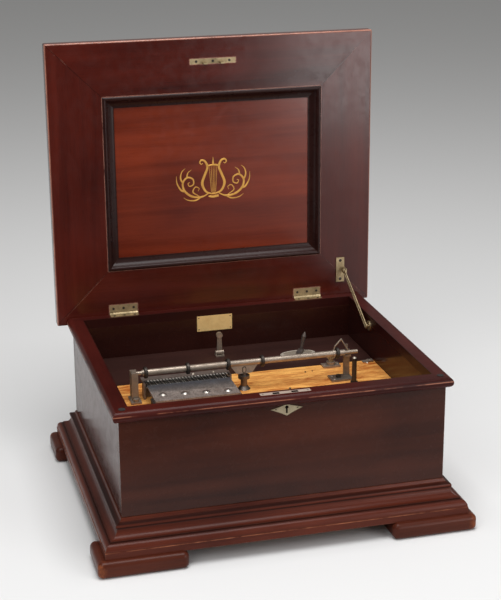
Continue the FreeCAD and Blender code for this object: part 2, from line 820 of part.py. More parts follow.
def comb():
    front = tip_y - comb_depth
    back = front + comb_base_back
    base = box(comb_x0 - 3, comb_x1 + 3, front - 2, back - 6, bed_top, comb_z)
    save("comb_base", base)
    root_far = tip_y - tooth_far
    root_near = tip_y - tooth_near
    bar = prism([(comb_x0, front), (comb_x1, front), (comb_x1, root_near), (comb_x0, root_far)],
                comb_z, comb_z + comb_t)
    blade = prism([(comb_x0, root_far - 1), (comb_x1, root_near - 1), (comb_x1, tip_y), (comb_x0, tip_y)],
                  comb_z + comb_t - tooth_t, comb_z + comb_t)
    steel = fused([bar, blade])
    slits = []
    for tooth in range(1, tooth_count):
        x = comb_x0 + tooth * tooth_pitch
        root = root_far + (root_near - root_far) * tooth / tooth_count
        slits.append(box(x - slit_w / 2, x + slit_w / 2, root, tip_y + 1, comb_z - 1, comb_z + comb_t + 1))
    save("comb", steel.cut(Part.makeCompound(slits)))
    heads = []
    for i in range(comb_screw_n):
        share = (i + 0.5) / comb_screw_n
        y = root_far + (root_near - root_far) * share - comb_screw_back
        heads.append(screw_head(comb_x0 + comb_len * share, y, comb_z + comb_t, comb_screw_r, comb_screw_h,
                                50 * i))
    save("comb_screws", heads)


def star_row():
    points = []
    for i in range(2 * star_points):
        radius = star_core_r if i % 2 else star_r
        angle = math.pi * i / star_points
        points.append((radius * math.cos(angle), radius * math.sin(angle)))
    star = prism(points, 0, star_t).cut(rod(0, 0, -1, star_axle_r + run_gap, star_t + 2))
    star.rotate(vec(0, 0, 0), Y, 90)
    wheels = []
    for tooth in range(tooth_count):
        wheel = turned(star, vec(0, 0, 0), X, (tooth % 2) * 180 / star_points)
        wheel.translate(vec(comb_x0 + (tooth + 0.5) * tooth_pitch - star_t / 2, disc_y, star_z))
        wheels.append(wheel)
    save("star_wheels", wheels)
    back = disc_y + star_r + 1
    end = comb_len / 2 + rack_t + 1
    middle = (comb_x0 + comb_x1) / 2
    web = box(middle - end, middle + end, back, back + rack_t, bed_top, star_z + rack_t)
    flange = box(middle - end, middle + end, back, back + rack_t + rack_flange, star_z, star_z + rack_t)
    cheeks = [box(middle + side * end - (rack_t if side > 0 else 0),
                  middle + side * end + (0 if side > 0 else rack_t),
                  disc_y - rack_t, back + rack_t, bed_top, star_z + rack_t) for side in (-1, 1)]
    axle = rod(middle - end, disc_y, star_z, star_axle_r, 2 * end, X)
    save("star_wheel_rack", fused([web, flange] + cheeks + [axle]))


def spindle():
    base = Part.makeCone(spindle_base_r, spindle_neck_r + 1, spindle_base_h, vec(disc_x, disc_y, bed_top))
    neck = rod(disc_x, disc_y, bed_top, spindle_neck_r, spindle_h)
    collar = rod(disc_x, disc_y, bed_top + spindle_h - spindle_collar_t, spindle_collar_r, spindle_collar_t)
    pin = rod(disc_x, disc_y, bed_top, spindle_pin_r, spindle_h + spindle_pin_up)
    save("centre_spindle", fused([base, neck, collar, pin]))


# Pressure bar

def upright_oval(x, y, z, radius, half, reach):
    """A round-ended block that stands up, reaching out both ways along Y."""
    ends = [rod(x, y - reach, z + side * half, radius, 2 * reach, Y) for side in (-1, 1)]
    return fused(ends + [box(x - radius, x + radius, y - reach, y + reach, z - half, z + half)])


def pressure_bar():
    y = disc_y
    main = rod(bar_main_left, y, bar_z, bar_r, bar_main_right - bar_main_left, X)
    left = rod(bar_pivot_x, y, bar_z, bar_end_r, bar_main_left - bar_pivot_x, X)
    right = rod(bar_main_right, y, bar_z, bar_end_r, bar_right - bar_main_right, X)
    eye = rod(bar_pivot_x, y - bar_eye_w / 2, bar_z, bar_eye_r, bar_eye_w, Y)
    hole = rod(bar_pivot_x, y - bar_eye_w, bar_z, bar_pin_r + run_gap, 2 * bar_eye_w, Y)
    save("pressure_bar", fused([main, left, right, eye]).cut(hole))
    rollers = []
    for x in roller_xs:
        ring = rod(x - roller_w / 2, y, bar_z, roller_r, roller_w, X)
        ring = ring.makeChamfer(0.8, [e for e in ring.Edges if isinstance(e.Curve, Part.Circle)])
        rollers.append(ring.cut(rod(x - roller_w, y, bar_z, bar_r + run_gap, 2 * roller_w, X)))
    save("pressure_rollers", rollers)
    low = bar_z - bracket_drop
    shoulder = bar_z - bracket_shoulder
    plate = prism([(-bracket_half, bar_z), (-bracket_half, shoulder), (-bracket_foot_half, low),
                   (bracket_foot_half, low), (bracket_half, shoulder), (bracket_half, bar_z)],
                  -bracket_t / 2, bracket_t / 2)
    plate.rotate(vec(0, 0, 0), X, 90)
    plate.translate(vec(disc_x, y, 0))
    corners = [e for e in plate.Edges if e.BoundBox.YLength > bracket_t / 2 and e.BoundBox.ZMax < bar_z - 1]
    plate = plate.makeFillet(bracket_round, corners)
    mid = (low + bar_z - bar_r) / 2
    ring = upright_oval(disc_x, y, mid, bracket_eye_r, bracket_eye_half, bracket_t)
    core = upright_oval(disc_x, y, mid, bracket_eye_r, bracket_eye_half, bracket_t / 2 - bracket_eye_sink)
    button = upright_oval(disc_x, y, mid, bracket_button_r, bracket_eye_half,
                          bracket_t / 2 + bracket_button_proud)
    hole = rod(disc_x - 2 * bracket_half, y, bar_z, bar_r + run_gap, 4 * bracket_half, X)
    save("hold_down_bracket", fused([plate.cut(ring), core, button]).cut(hole))
    seat = bar_z + bar_r
    path = [vec(loop_left, y, seat), vec(loop_knee, y, bar_z + loop_knee_up),
            vec(loop_peak, y, bar_z + loop_top),
            vec(loop_right, y, bar_z + bar_end_r + loop_wire_r + run_gap)]
    wires = [Part.makeCylinder(loop_wire_r, a.distanceToPoint(b), a, b - a) for a, b in zip(path, path[1:])]
    wires += [Part.makeSphere(loop_wire_r, bend) for bend in path[1:]]
    clip = rod(loop_left - loop_clip_w / 2, y, bar_z, bar_r + loop_clip_t, loop_clip_w, X)
    inside = rod(loop_left - loop_clip_w, y, bar_z, bar_r + run_gap, 2 * loop_clip_w, X)
    save("bar_lift_loop", fused([clip] + wires).cut(inside))


def post_nut(x, y):
    """A hexagon nut that holds a post's base to the bed."""
    corners = [math.radians(a) for a in range(0, 360, 60)]
    return prism([(x + post_nut_r * math.cos(a), y + post_nut_r * math.sin(a)) for a in corners],
                 bed_top, bed_top + post_base_t + post_nut_h)


def bar_posts():
    y = disc_y
    x = bar_pivot_x
    foot = box(x - post_foot_x / 2, x + post_foot_x / 2, y - post_foot_front, y + post_foot_back,
               bed_top, bed_top + post_base_t)
    nut_y = y - post_foot_front + post_nut_r + 1
    inner = bar_eye_w / 2 + side_gap
    parts = [foot, post_nut(x, nut_y)]
    for side in (-1, 1):
        face = y + side * inner
        parts.append(box(x - post_w / 2, x + post_w / 2, min(face, face + side * post_t),
                         max(face, face + side * post_t), bed_top, bar_z + bar_pin_r + post_pin_wall))
    parts.append(rod(x, y - inner - post_t, bar_z, bar_pin_r, 2 * (inner + post_t), Y))
    save("bar_pivot_post", fused(parts))
    x = rest_post_x
    half = rest_post_w / 2
    base = box(x - rest_base_left, x + rest_base_right, y - rest_base_front, y + rest_base_back,
               bed_top, bed_top + post_base_t)
    face = y + bar_end_r + side_gap
    strap = box(x - half, x + half, face, face + rest_strap_t, bed_top, bar_z + bar_end_r)
    tip = box(x - rest_tip_w / 2, x + rest_tip_w / 2, face, face + rest_strap_t, bar_z, bar_z + rest_rise)
    under = bar_z - bar_end_r - side_gap
    saddle = box(x - half, x + half, y - bar_end_r, face, under - rest_saddle_t, under)
    nut = post_nut(x - rest_nut_left, y - rest_nut_front)
    save("bar_rest_post", fused([base, strap, tip, saddle, nut]))


def levers():
    post = rod(lever_x, lever_y, bed_top - bed_t - 6, lever_r, bed_t + 6 + lever_h)
    ball = Part.makeSphere(lever_ball_r, vec(lever_x, lever_y, bed_top + lever_h + lever_ball_r * 0.6))
    collar = rod(lever_x, lever_y, bed_top + side_gap, lever_r + 2, 4)
    finger = box(lever_x - lever_finger, lever_x, lever_y - 2, lever_y + 2, bed_top - bed_t - 6,
                 bed_top - bed_t - 2)
    save("start_lever", fused([post, ball, collar, finger]))
    foot = box(edge_x - edge_foot_w / 2, edge_x + edge_foot_w / 2, edge_y - edge_foot_d / 2,
               edge_y + edge_foot_d / 2,
               bed_top, bed_top + 2)
    pivot_z = bed_top + edge_pivot_h
    parts = [foot]
    ear = edge_wide + side_gap
    for side in (-1, 1):
        at = edge_x + side * ear
        lo, hi = min(at, at + side * 2), max(at, at + side * 2)
        parts.append(box(lo, hi, edge_y - edge_ear_r, edge_y + edge_ear_r, bed_top, pivot_z))
        parts.append(rod(lo, edge_y, pivot_z, edge_ear_r, 2, X))
    parts.append(rod(edge_x - ear - 2, edge_y, pivot_z, edge_pin_r, 2 * (ear + 2), X))
    save("edge_lever_foot", fused(parts))
    top = pivot_z + edge_rise
    strap = prism([(-edge_wide, 0), (edge_wide, 0), (edge_narrow, edge_rise), (-edge_narrow, edge_rise)],
                  -edge_strap_t / 2, edge_strap_t / 2)
    strap.rotate(vec(0, 0, 0), X, 90)
    strap.translate(vec(edge_x, edge_y, pivot_z))
    eye = rod(edge_x - edge_wide, edge_y, pivot_z, edge_pin_r + 1.8, 2 * edge_wide, X)
    knob = rod(edge_x, edge_y - 2.5, top, edge_knob_r, 5, Y)
    hole = rod(edge_x - 20, edge_y, pivot_z, edge_pin_r + run_gap, 40, X)
    save("edge_lever", fused([strap, eye, knob]).cut(hole))


# Winding train

def oval_plate(x, y, z, long, short, thick):
    """A flat oval plate, long across the box."""
    rim = Part.Ellipse(vec(x, y, z), long, short).toShape()
    return Part.Face(Part.Wire([rim])).extrude(vec(0, 0, thick))


def winding():
    x, y = crank_x, crank_y
    middle = y + crank_plate_back
    floor_z = bed_top + crank_plate_h - crank_plate_sink
    dish = oval_plate(x, middle, bed_top, crank_plate_long, crank_plate_short, crank_plate_h)
    edge = [e for e in dish.Edges if e.BoundBox.ZMin > bed_top + crank_plate_h / 2]
    dish = dish.makeFillet(crank_plate_h * 0.6, edge)
    dish = dish.cut(oval_plate(x, middle, floor_z, crank_plate_long - crank_plate_rim,
                               crank_plate_short - crank_plate_rim, crank_plate_h))
    save("crank_escutcheon", dish.cut(rod(x, y, bed_top - 1, shaft_r + run_gap, crank_plate_h + 2)))
    arm_z = bed_top + crank_plate_h + side_gap
    arm = box(x, x + crank_arm_l, y - crank_arm_w / 2, y + crank_arm_w / 2, arm_z, arm_z + crank_arm_t)
    ends = [rod(x + shift, y, arm_z, crank_arm_w / 2, crank_arm_t) for shift in (0, crank_arm_l)]
    crank = fused([arm] + ends).cut(rod(x, y, arm_z - 1, shaft_r * 0.8 + run_gap, crank_arm_t + 2))
    crank = turned(crank, vec(x, y, 0), Z, crank_swing)
    swing = math.radians(crank_swing)
    foot = vec(x + crank_arm_l * math.cos(swing), y + crank_arm_l * math.sin(swing), arm_z + crank_arm_t / 2)
    grip = Part.makeCone(crank_handle_r, crank_knob_r, crank_handle_h, foot)
    tip = Part.makeCone(crank_knob_r, crank_tip_r, crank_tip_h, foot + vec(0, 0, crank_handle_h))
    handle = turned(fused([grip, tip]), foot, Y, crank_handle_lean)
    save("winding_crank", fused([crank, handle]))
    line = bearing((x, y), barrel_at)
    shaft = fused([rod(x, y, wind_z - 4, shaft_r, arm_z - wind_z + 4 - side_gap / 2),
                   rod(x, y, wind_z, shaft_r * 0.8, arm_z + crank_arm_t - wind_z)])
    pinion = gear(wind_pinion_n, tooth_module, x, y, wind_z, wheel_t, line, shaft_r * 0.9)
    save("winding_shaft", fused([shaft, pinion]))
    bx, by = barrel_at
    wheel = gear(wind_wheel_n, tooth_module, bx, by, wind_z, wheel_t, line + 180 + 180 / wind_wheel_n,
                 arbor_r + 0.02)
    wheel = crossed_out(wheel, bx, by, wind_z, wheel_t, 18, 5.5, 6)
    teeth = []
    for tooth in range(ratchet_n):
        angle = 2 * math.pi * tooth / ratchet_n
        step = 2 * math.pi / ratchet_n
        for radius, at in ((ratchet_r, angle), (ratchet_root, angle + 0.12 * step)):
            teeth.append((bx + radius * math.cos(at), by + radius * math.sin(at)))
    ratchet = prism(teeth, ratchet_z, ratchet_z + wheel_t)
    hub = rod(bx, by, ratchet_z, 2 * arbor_r, wind_z - ratchet_z)
    bore = rod(bx, by, ratchet_z - 1, arbor_r + 0.02, wind_z + wheel_t)
    save("winding_wheel", fused([wheel, ratchet, hub]).cut(bore))
    angle = math.radians(click_angle)
    px, py = bx + click_out * math.cos(angle), by + click_out * math.sin(angle)
    reach = ratchet_r + 2 * side_gap
    tip_angle = angle + 0.55
    tip = (bx + reach * math.cos(tip_angle), by + reach * math.sin(tip_angle))
    heel = (bx + (reach + 4) * math.cos(tip_angle), by + (reach + 4) * math.sin(tip_angle))
    away = math.atan2(tip[1] - py, tip[0] - px)
    side = (math.cos(away + math.pi / 2) * click_r * 0.8, math.sin(away + math.pi / 2) * click_r * 0.8)
    finger = prism([(px - side[0], py - side[1]), heel, tip, (px + side[0], py + side[1])],
                   ratchet_z + 0.5, ratchet_z + wheel_t - 0.5)
    hub = rod(px, py, ratchet_z + 0.5, click_r, wheel_t - 1)
    pin = rod(px, py, ratchet_z + 0.5, click_pin_r, motor_roof + motor_plate_t - ratchet_z - 1)
    save("ratchet_click", fused([hub, finger, pin]))
    arbor = [rod(bx, by, motor_low + 1, arbor_r, motor_roof + motor_plate_t - motor_low - 2),
             rod(bx, by, drum_z + barrel_floor + side_gap, arbor_hub_r,
                 barrel_h - barrel_floor - 2 * side_gap)]
    save("winding_arbor", fused(arbor))
    return px, py


def spring_barrel():
    bx, by = barrel_at
    line = bearing(barrel_at, (drive_x, drive_y))
    great = gear(great_n, tooth_module, bx, by, great_z, great_t, line, arbor_r + run_gap)
    floor = rod(bx, by, drum_z, barrel_r, barrel_floor)
    wall = rod(bx, by, drum_z, barrel_r,
               barrel_h).cut(rod(bx, by, drum_z - 1, barrel_r - barrel_wall, barrel_h + 2))
    drum = fused([great, floor, wall]).cut(rod(bx, by, great_z - 1, arbor_r + run_gap, barrel_h))
    save("spring_barrel", drum)
    cover = rod(bx, by, drum_top, barrel_r,
                cover_t).cut(rod(bx, by, drum_top - 1, arbor_r + run_gap, cover_t + 2))
    save("barrel_cover", cover)
    inner = arbor_hub_r + spring_t / 2 + 0.4
    outer = barrel_r - barrel_wall - spring_t / 2 - side_gap
    halves = int((outer - inner) / spring_step)
    low = drum_z + barrel_floor + spring_margin
    high = drum_top - spring_margin

    def run(offset):
        """Half circles that grow by one step each, alternately about two centres."""
        edges = []
        radius = outer + offset - halves * spring_step
        centre = 0.0
        for half in range(halves):
            start = 0 if half % 2 == 0 else 180
            circle = Part.Circle(vec(bx + centre, by, low), Z, radius)
            edges.append(circle.toShape(math.radians(start), math.radians(start + 180)))
            centre = spring_step if half % 2 == 0 else 0.0
            radius += spring_step
        return edges

    outside, inside = run(spring_t / 2), run(-spring_t / 2)
    start = Part.makeLine(inside[0].valueAt(inside[0].FirstParameter),
                          outside[0].valueAt(outside[0].FirstParameter))
    end = Part.makeLine(outside[-1].valueAt(outside[-1].LastParameter),
                        inside[-1].valueAt(inside[-1].LastParameter))
    loop = Part.Wire(Part.__sortEdges__(outside + [end] + inside + [start]))
    save("mainspring", Part.Face(loop).extrude(vec(0, 0, high - low)))


def drive():
    x, y = drive_x, drive_y
    line = bearing(barrel_at, (x, y))
    arbor = rod(x, y, motor_low + 1, drive_r, bed_top + drive_rise - motor_low)
    pinion = gear(drive_n, tooth_module, x, y, great_z, great_t, line + 180 + 180 / drive_n, drive_r * 0.9)
    crown = gear(drive_top_n, drive_top_module, x, y, bed_top + drive_rise, drive_top_h, 0, 1.0)
    save("drive_arbor",
         fused([arbor, pinion, crown, rod(x, y, bed_top, drive_r * 0.6, drive_rise + drive_top_h)]))
    wheel = gear(gov_wheel_n, fine_module, x, y, gov_wheel_z, gov_wheel_t, 180, drive_r + 0.02)
    save("governor_wheel", crossed_out(wheel, x, y, gov_wheel_z, gov_wheel_t, 17, 6, 5))
    plate = box(x - bearing_plate_w / 2, x + bearing_plate_w / 2, y - bearing_plate_d / 2,
                y + bearing_plate_d / 2,
                bed_top, bed_top + 3)
    boss = rod(x, y, bed_top, bearing_boss_r, bearing_boss_h + 3)
    save("drive_bearing_plate", fused([plate, boss]).cut(rod(x, y, bed_top - 1, drive_r + run_gap, 20)))


def governor():
    gx, gy = gov_at
    arbor = rod(gx, gy, motor_low + 1, gov_r, motor_roof + motor_plate_t - motor_low - 2)
    pinion = gear(gov_pinion_n, fine_module, gx, gy, gov_wheel_z - 2, gov_wheel_t + 4, 180 / gov_pinion_n,
                  gov_r * 0.9)
    worm_wheel = gear(worm_wheel_n, worm_module, gx, gy, worm_wheel_z, gov_wheel_t, 180 + 180 / worm_wheel_n,
                      gov_r * 0.9)
    save("governor_arbor", fused([arbor, pinion, worm_wheel]))
    y0 = gy - worm_front
    y1 = gy + worm_back
    start = gy - 2 * worm_pitch
    helix = Part.makeHelix(worm_pitch, worm_pitch * worm_turns, worm_core_r)
    root, tip = 0.26 * worm_pitch, 0.12 * worm_pitch
    profile = Part.makePolygon([vec(worm_core_r - 0.3, 0, -root), vec(worm_tip_r, 0, -tip),
                                vec(worm_tip_r, 0, tip),
                                vec(worm_core_r - 0.3, 0, root), vec(worm_core_r - 0.3, 0, -root)])
    thread = Part.Wire(helix).makePipeShell([profile], True, True)
    thread.rotate(vec(0, 0, 0), X, -90)
    thread.translate(vec(worm_x, start, worm_z))
    core = rod(worm_x, start - worm_pitch, worm_z, worm_core_r, worm_pitch * (worm_turns + 2), Y)
    pivot = rod(worm_x, y0, worm_z, worm_pivot_r, y1 - y0, Y)
    hub = rod(worm_x, gy + fly_y - fly_w / 2, worm_z, worm_core_r, fly_w, Y)
    wing = box(worm_x - fly_r, worm_x + fly_r, gy + fly_y - fly_w / 2, gy + fly_y + fly_w / 2,
               worm_z - fly_t / 2, worm_z + fly_t / 2)
    save("governor_worm", fused([core, pivot, hub, wing, thread]))
    return y0, y1


def motor_frame(click_at, worm_ends):
    holes = [(barrel_at, arbor_r), ((drive_x, drive_y), drive_r), (gov_at, gov_r)]
    low = box(motor_x0, motor_x1, motor_y0, motor_y1, motor_low, motor_floor)
    cocks = []
    for end, inward in ((worm_ends[0], 1), (worm_ends[1], -1)):
        y0, y1 = sorted((end, end + inward * cock_t))
        cock = box(worm_x - cock_w / 2, worm_x + cock_w / 2, y0, y1, motor_low, worm_z + cock_w / 2)
        cocks.append(cock.cut(rod(worm_x, y0 - 1, worm_z, worm_pivot_r + run_gap, cock_t + 2, Y)))
    low = cut_all(low, [rod(at[0], at[1], motor_low - 1, radius + run_gap, motor_plate_t + 2)
                        for at, radius in holes])
    save("motor_bottom_plate", fused([low] + cocks))
    top = box(motor_x0, motor_x1, motor_y0, motor_y1, motor_roof, motor_roof + motor_plate_t)
    holes += [((crank_x, crank_y), shaft_r), (click_at, click_pin_r)]
    top = cut_all(top, [rod(at[0], at[1], motor_roof - 1, radius + run_gap, motor_plate_t + 2)
                        for at, radius in holes])
    save("motor_top_plate", top)
    pillars = []
    places = [(motor_x0 + pillar_front_in, motor_y0 + pillar_in),
              (motor_x1 - pillar_in, motor_y0 + pillar_in),
              (motor_x0 + pillar_in, motor_y1 - pillar_in), (motor_x1 - pillar_in, motor_y1 - pillar_in)]
    for x, y in places:
        under = bed_top - (bed_t if y < bed_back else shelf_t)
        pillars.append(rod(x, y, motor_floor, pillar_r, motor_gap))
        pillars.append(rod(x, y, motor_roof + motor_plate_t, pillar_r, under - motor_roof - motor_plate_t))
    save("motor_pillars", pillars)


os.makedirs("parts", exist_ok=True)
case()
cleats()
bed_and_shelf()
case_fittings()
case_screws()
lid()
stay()
comb()
star_row()
spindle()
pressure_bar()
bar_posts()
levers()
click_place = winding()
spring_barrel()
drive()
worm_span = governor()
motor_frame(click_place, worm_span)
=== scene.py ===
"""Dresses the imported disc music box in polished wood, worn metals and gilt, and adds its small fittings."""
import logging
import math
from dataclasses import dataclass, field
from enum import Enum
from typing import Any, Iterable, Optional, Sequence

import bmesh
import bpy
from mathutils import Matrix, Vector


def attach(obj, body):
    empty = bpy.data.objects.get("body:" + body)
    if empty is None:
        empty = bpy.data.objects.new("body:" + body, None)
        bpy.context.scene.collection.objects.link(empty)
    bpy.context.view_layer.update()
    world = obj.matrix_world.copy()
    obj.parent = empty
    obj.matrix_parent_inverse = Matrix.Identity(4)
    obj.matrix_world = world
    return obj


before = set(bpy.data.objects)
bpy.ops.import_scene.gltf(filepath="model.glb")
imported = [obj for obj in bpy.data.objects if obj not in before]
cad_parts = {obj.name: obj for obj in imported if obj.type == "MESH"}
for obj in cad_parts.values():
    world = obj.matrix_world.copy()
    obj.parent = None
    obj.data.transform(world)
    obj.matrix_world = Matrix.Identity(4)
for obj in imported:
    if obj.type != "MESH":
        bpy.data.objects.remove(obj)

LOG = logging.getLogger("music_box")
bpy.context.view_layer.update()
Colour = tuple[float, float, float, float]
Point = tuple[float, float]
Triple = tuple[float, float, float]
MILLIMETRE = 0.001
# The Mix node's numbered sockets for each kind of data: first input, second input and result.
MIX_SOCKETS = {"RGBA": (6, 7, 2), "VECTOR": (4, 5, 1)}


def paint(red: int, green: int, blue: int) -> Colour:
    """Turns an eight-bit screen colour into the linear colour that a shader takes.

    Args:
        red: Red from 0 to 255.
        green: Green from 0 to 255.
        blue: Blue from 0 to 255.

    Returns:
        The linear colour with full alpha.
    """
    def line(value: int) -> float:
        """Undoes the screen curve for one channel."""
        share = value / 255.0
        return share / 12.92 if share <= 0.04045 else ((share + 0.055) / 1.055) ** 2.4
    return line(red), line(green), line(blue), 1.0


class NodeBench:
    """Adds and links the nodes of one tree."""

    def __init__(self, tree: bpy.types.NodeTree) -> None:
        """Keeps the tree that the nodes go into."""
        self.tree = tree

    def add(self, kind: str, **settings: Any) -> bpy.types.Node:
        """Adds one node.

        Args:
            kind: The node's type name.
            **settings: Attributes of the node to set.

        Returns:
            The new node.
        """
        node = self.tree.nodes.new(kind)
        for name, value in settings.items():
            setattr(node, name, value)
        return node

    def feed(self, socket: bpy.types.NodeSocket, value: Any) -> None:
        """Links a socket to another, or sets its plain value.

        Args:
            socket: The input that takes the value.
            value: An output socket or a constant.
        """
        if isinstance(value, bpy.types.NodeSocket):
            self.tree.links.new(value, socket)
        else:
            socket.default_value = value

    def here(self) -> bpy.types.NodeSocket:
        """The place on the piece, in metres."""
        return self.add("ShaderNodeTexCoord").outputs["Object"]

    def apart(self, vector: Any) -> dict[str, bpy.types.NodeSocket]:
        """Takes a place apart.

        Args:
            vector: The place on the surface.

        Returns:
            Its three parts by axis letter.
        """
        node = self.add("ShaderNodeSeparateXYZ")
        self.feed(node.inputs[0], vector)
        return {letter: node.outputs[letter] for letter in "XYZ"}

    def maths(self, operation: str, first: Any, second: Any = 0.0,
              clamp: bool = False) -> bpy.types.NodeSocket:
        """One arithmetic step.

        Args:
            operation: The name of the step, such as ADD.
            first: The first operand.
            second: The second operand.
            clamp: Whether the result is held between 0 and 1.

        Returns:
            The result.
        """
        node = self.add("ShaderNodeMath", operation=operation, use_clamp=clamp)
        self.feed(node.inputs[0], first)
        self.feed(node.inputs[1], second)
        return node.outputs[0]

    def sum_of(self, *parts: tuple[Any, float]) -> bpy.types.NodeSocket:
        """Adds two values by weight.

        Args:
            *parts: The two values, each with its weight.

        Returns:
            The weighted sum.
        """
        return self.maths("ADD", *(self.maths("MULTIPLY", value, weight) for value, weight in parts))

    def gap(self, first: Any, second: Any) -> bpy.types.NodeSocket:
        """How far two values lie apart, whichever is greater."""
        return self.maths("ABSOLUTE", self.maths("SUBTRACT", first, second))

    def blend(self, share: Any, first: Any, second: Any, how: str = "MIX",
              kind: str = "RGBA") -> bpy.types.NodeSocket:
        """Mixes two colours or two vectors.

        Args:
            share: How much of the second one shows.
            first: The first one.
            second: The second one.
            how: The way of mixing, such as MULTIPLY, for colours.
            kind: RGBA for colours or VECTOR for vectors.

        Returns:
            The mixture.
        """
        first_in, second_in, result = MIX_SOCKETS[kind]
        node = self.add("ShaderNodeMix", data_type=kind, blend_type=how)
        self.feed(node.inputs[0], share)
        self.feed(node.inputs[first_in], first)
        self.feed(node.inputs[second_in], second)
        return node.outputs[result]

    def span(self, value: Any, low: float, high: float, start: float = 0.0,
             end: float = 1.0) -> bpy.types.NodeSocket:
        """Stretches a range of a value over another range, held at its ends.

        Args:
            value: The value to stretch.
            low: The value that becomes start.
            high: The value that becomes end.
            start: The result at low.
            end: The result at high.

        Returns:
            The stretched value.
        """
        node = self.add("ShaderNodeMapRange")
        for socket, number in zip(node.inputs, (value, low, high, start, end)):
            self.feed(socket, number)
        return node.outputs[0]

    def noise(self, vector: Any, scale: float, detail: float = 3.0, rough: float = 0.5,
              warp: float = 0.0) -> bpy.types.NodeSocket:
        """A cloudy pattern between 0 and 1.

        Args:
            vector: The place on the surface.
            scale: How fine the pattern is, per metre.
            detail: How many finer layers it has.
            rough: How strong those layers are.
            warp: How far it is twisted.

        Returns:
            The pattern's value.
        """
        node = self.add("ShaderNodeTexNoise")
        self.feed(node.inputs["Vector"], vector)
        settings = {"Scale": scale, "Detail": detail, "Roughness": rough, "Distortion": warp}
        for name, number in settings.items():
            node.inputs[name].default_value = number
        return node.outputs[0]

    def stretched(self, vector: Any, x: float, y: float, z: float) -> bpy.types.NodeSocket:
        """Scales a place along each axis.

        Args:
            vector: The place on the surface.
            x: Scale along the first axis.
            y: Scale along the second axis.
            z: Scale along the third axis.

        Returns:
            The scaled place.
        """
        node = self.add("ShaderNodeMapping")
        self.feed(node.inputs["Vector"], vector)
        node.inputs["Scale"].default_value = (x, y, z)
        return node.outputs[0]

    def order(self, vector: Any, axes: str) -> bpy.types.NodeSocket:
        """Reorders the axes of a place, so that the first one named becomes the grain's.

        Args:
            vector: The place on the surface.
            axes: The three axis letters in their new order.

        Returns:
            The reordered place.
        """
        apart = self.apart(vector)
        together = self.add("ShaderNodeCombineXYZ")
        for socket, letter in zip(together.inputs, axes):
            self.feed(socket, apart[letter])
        return together.outputs[0]


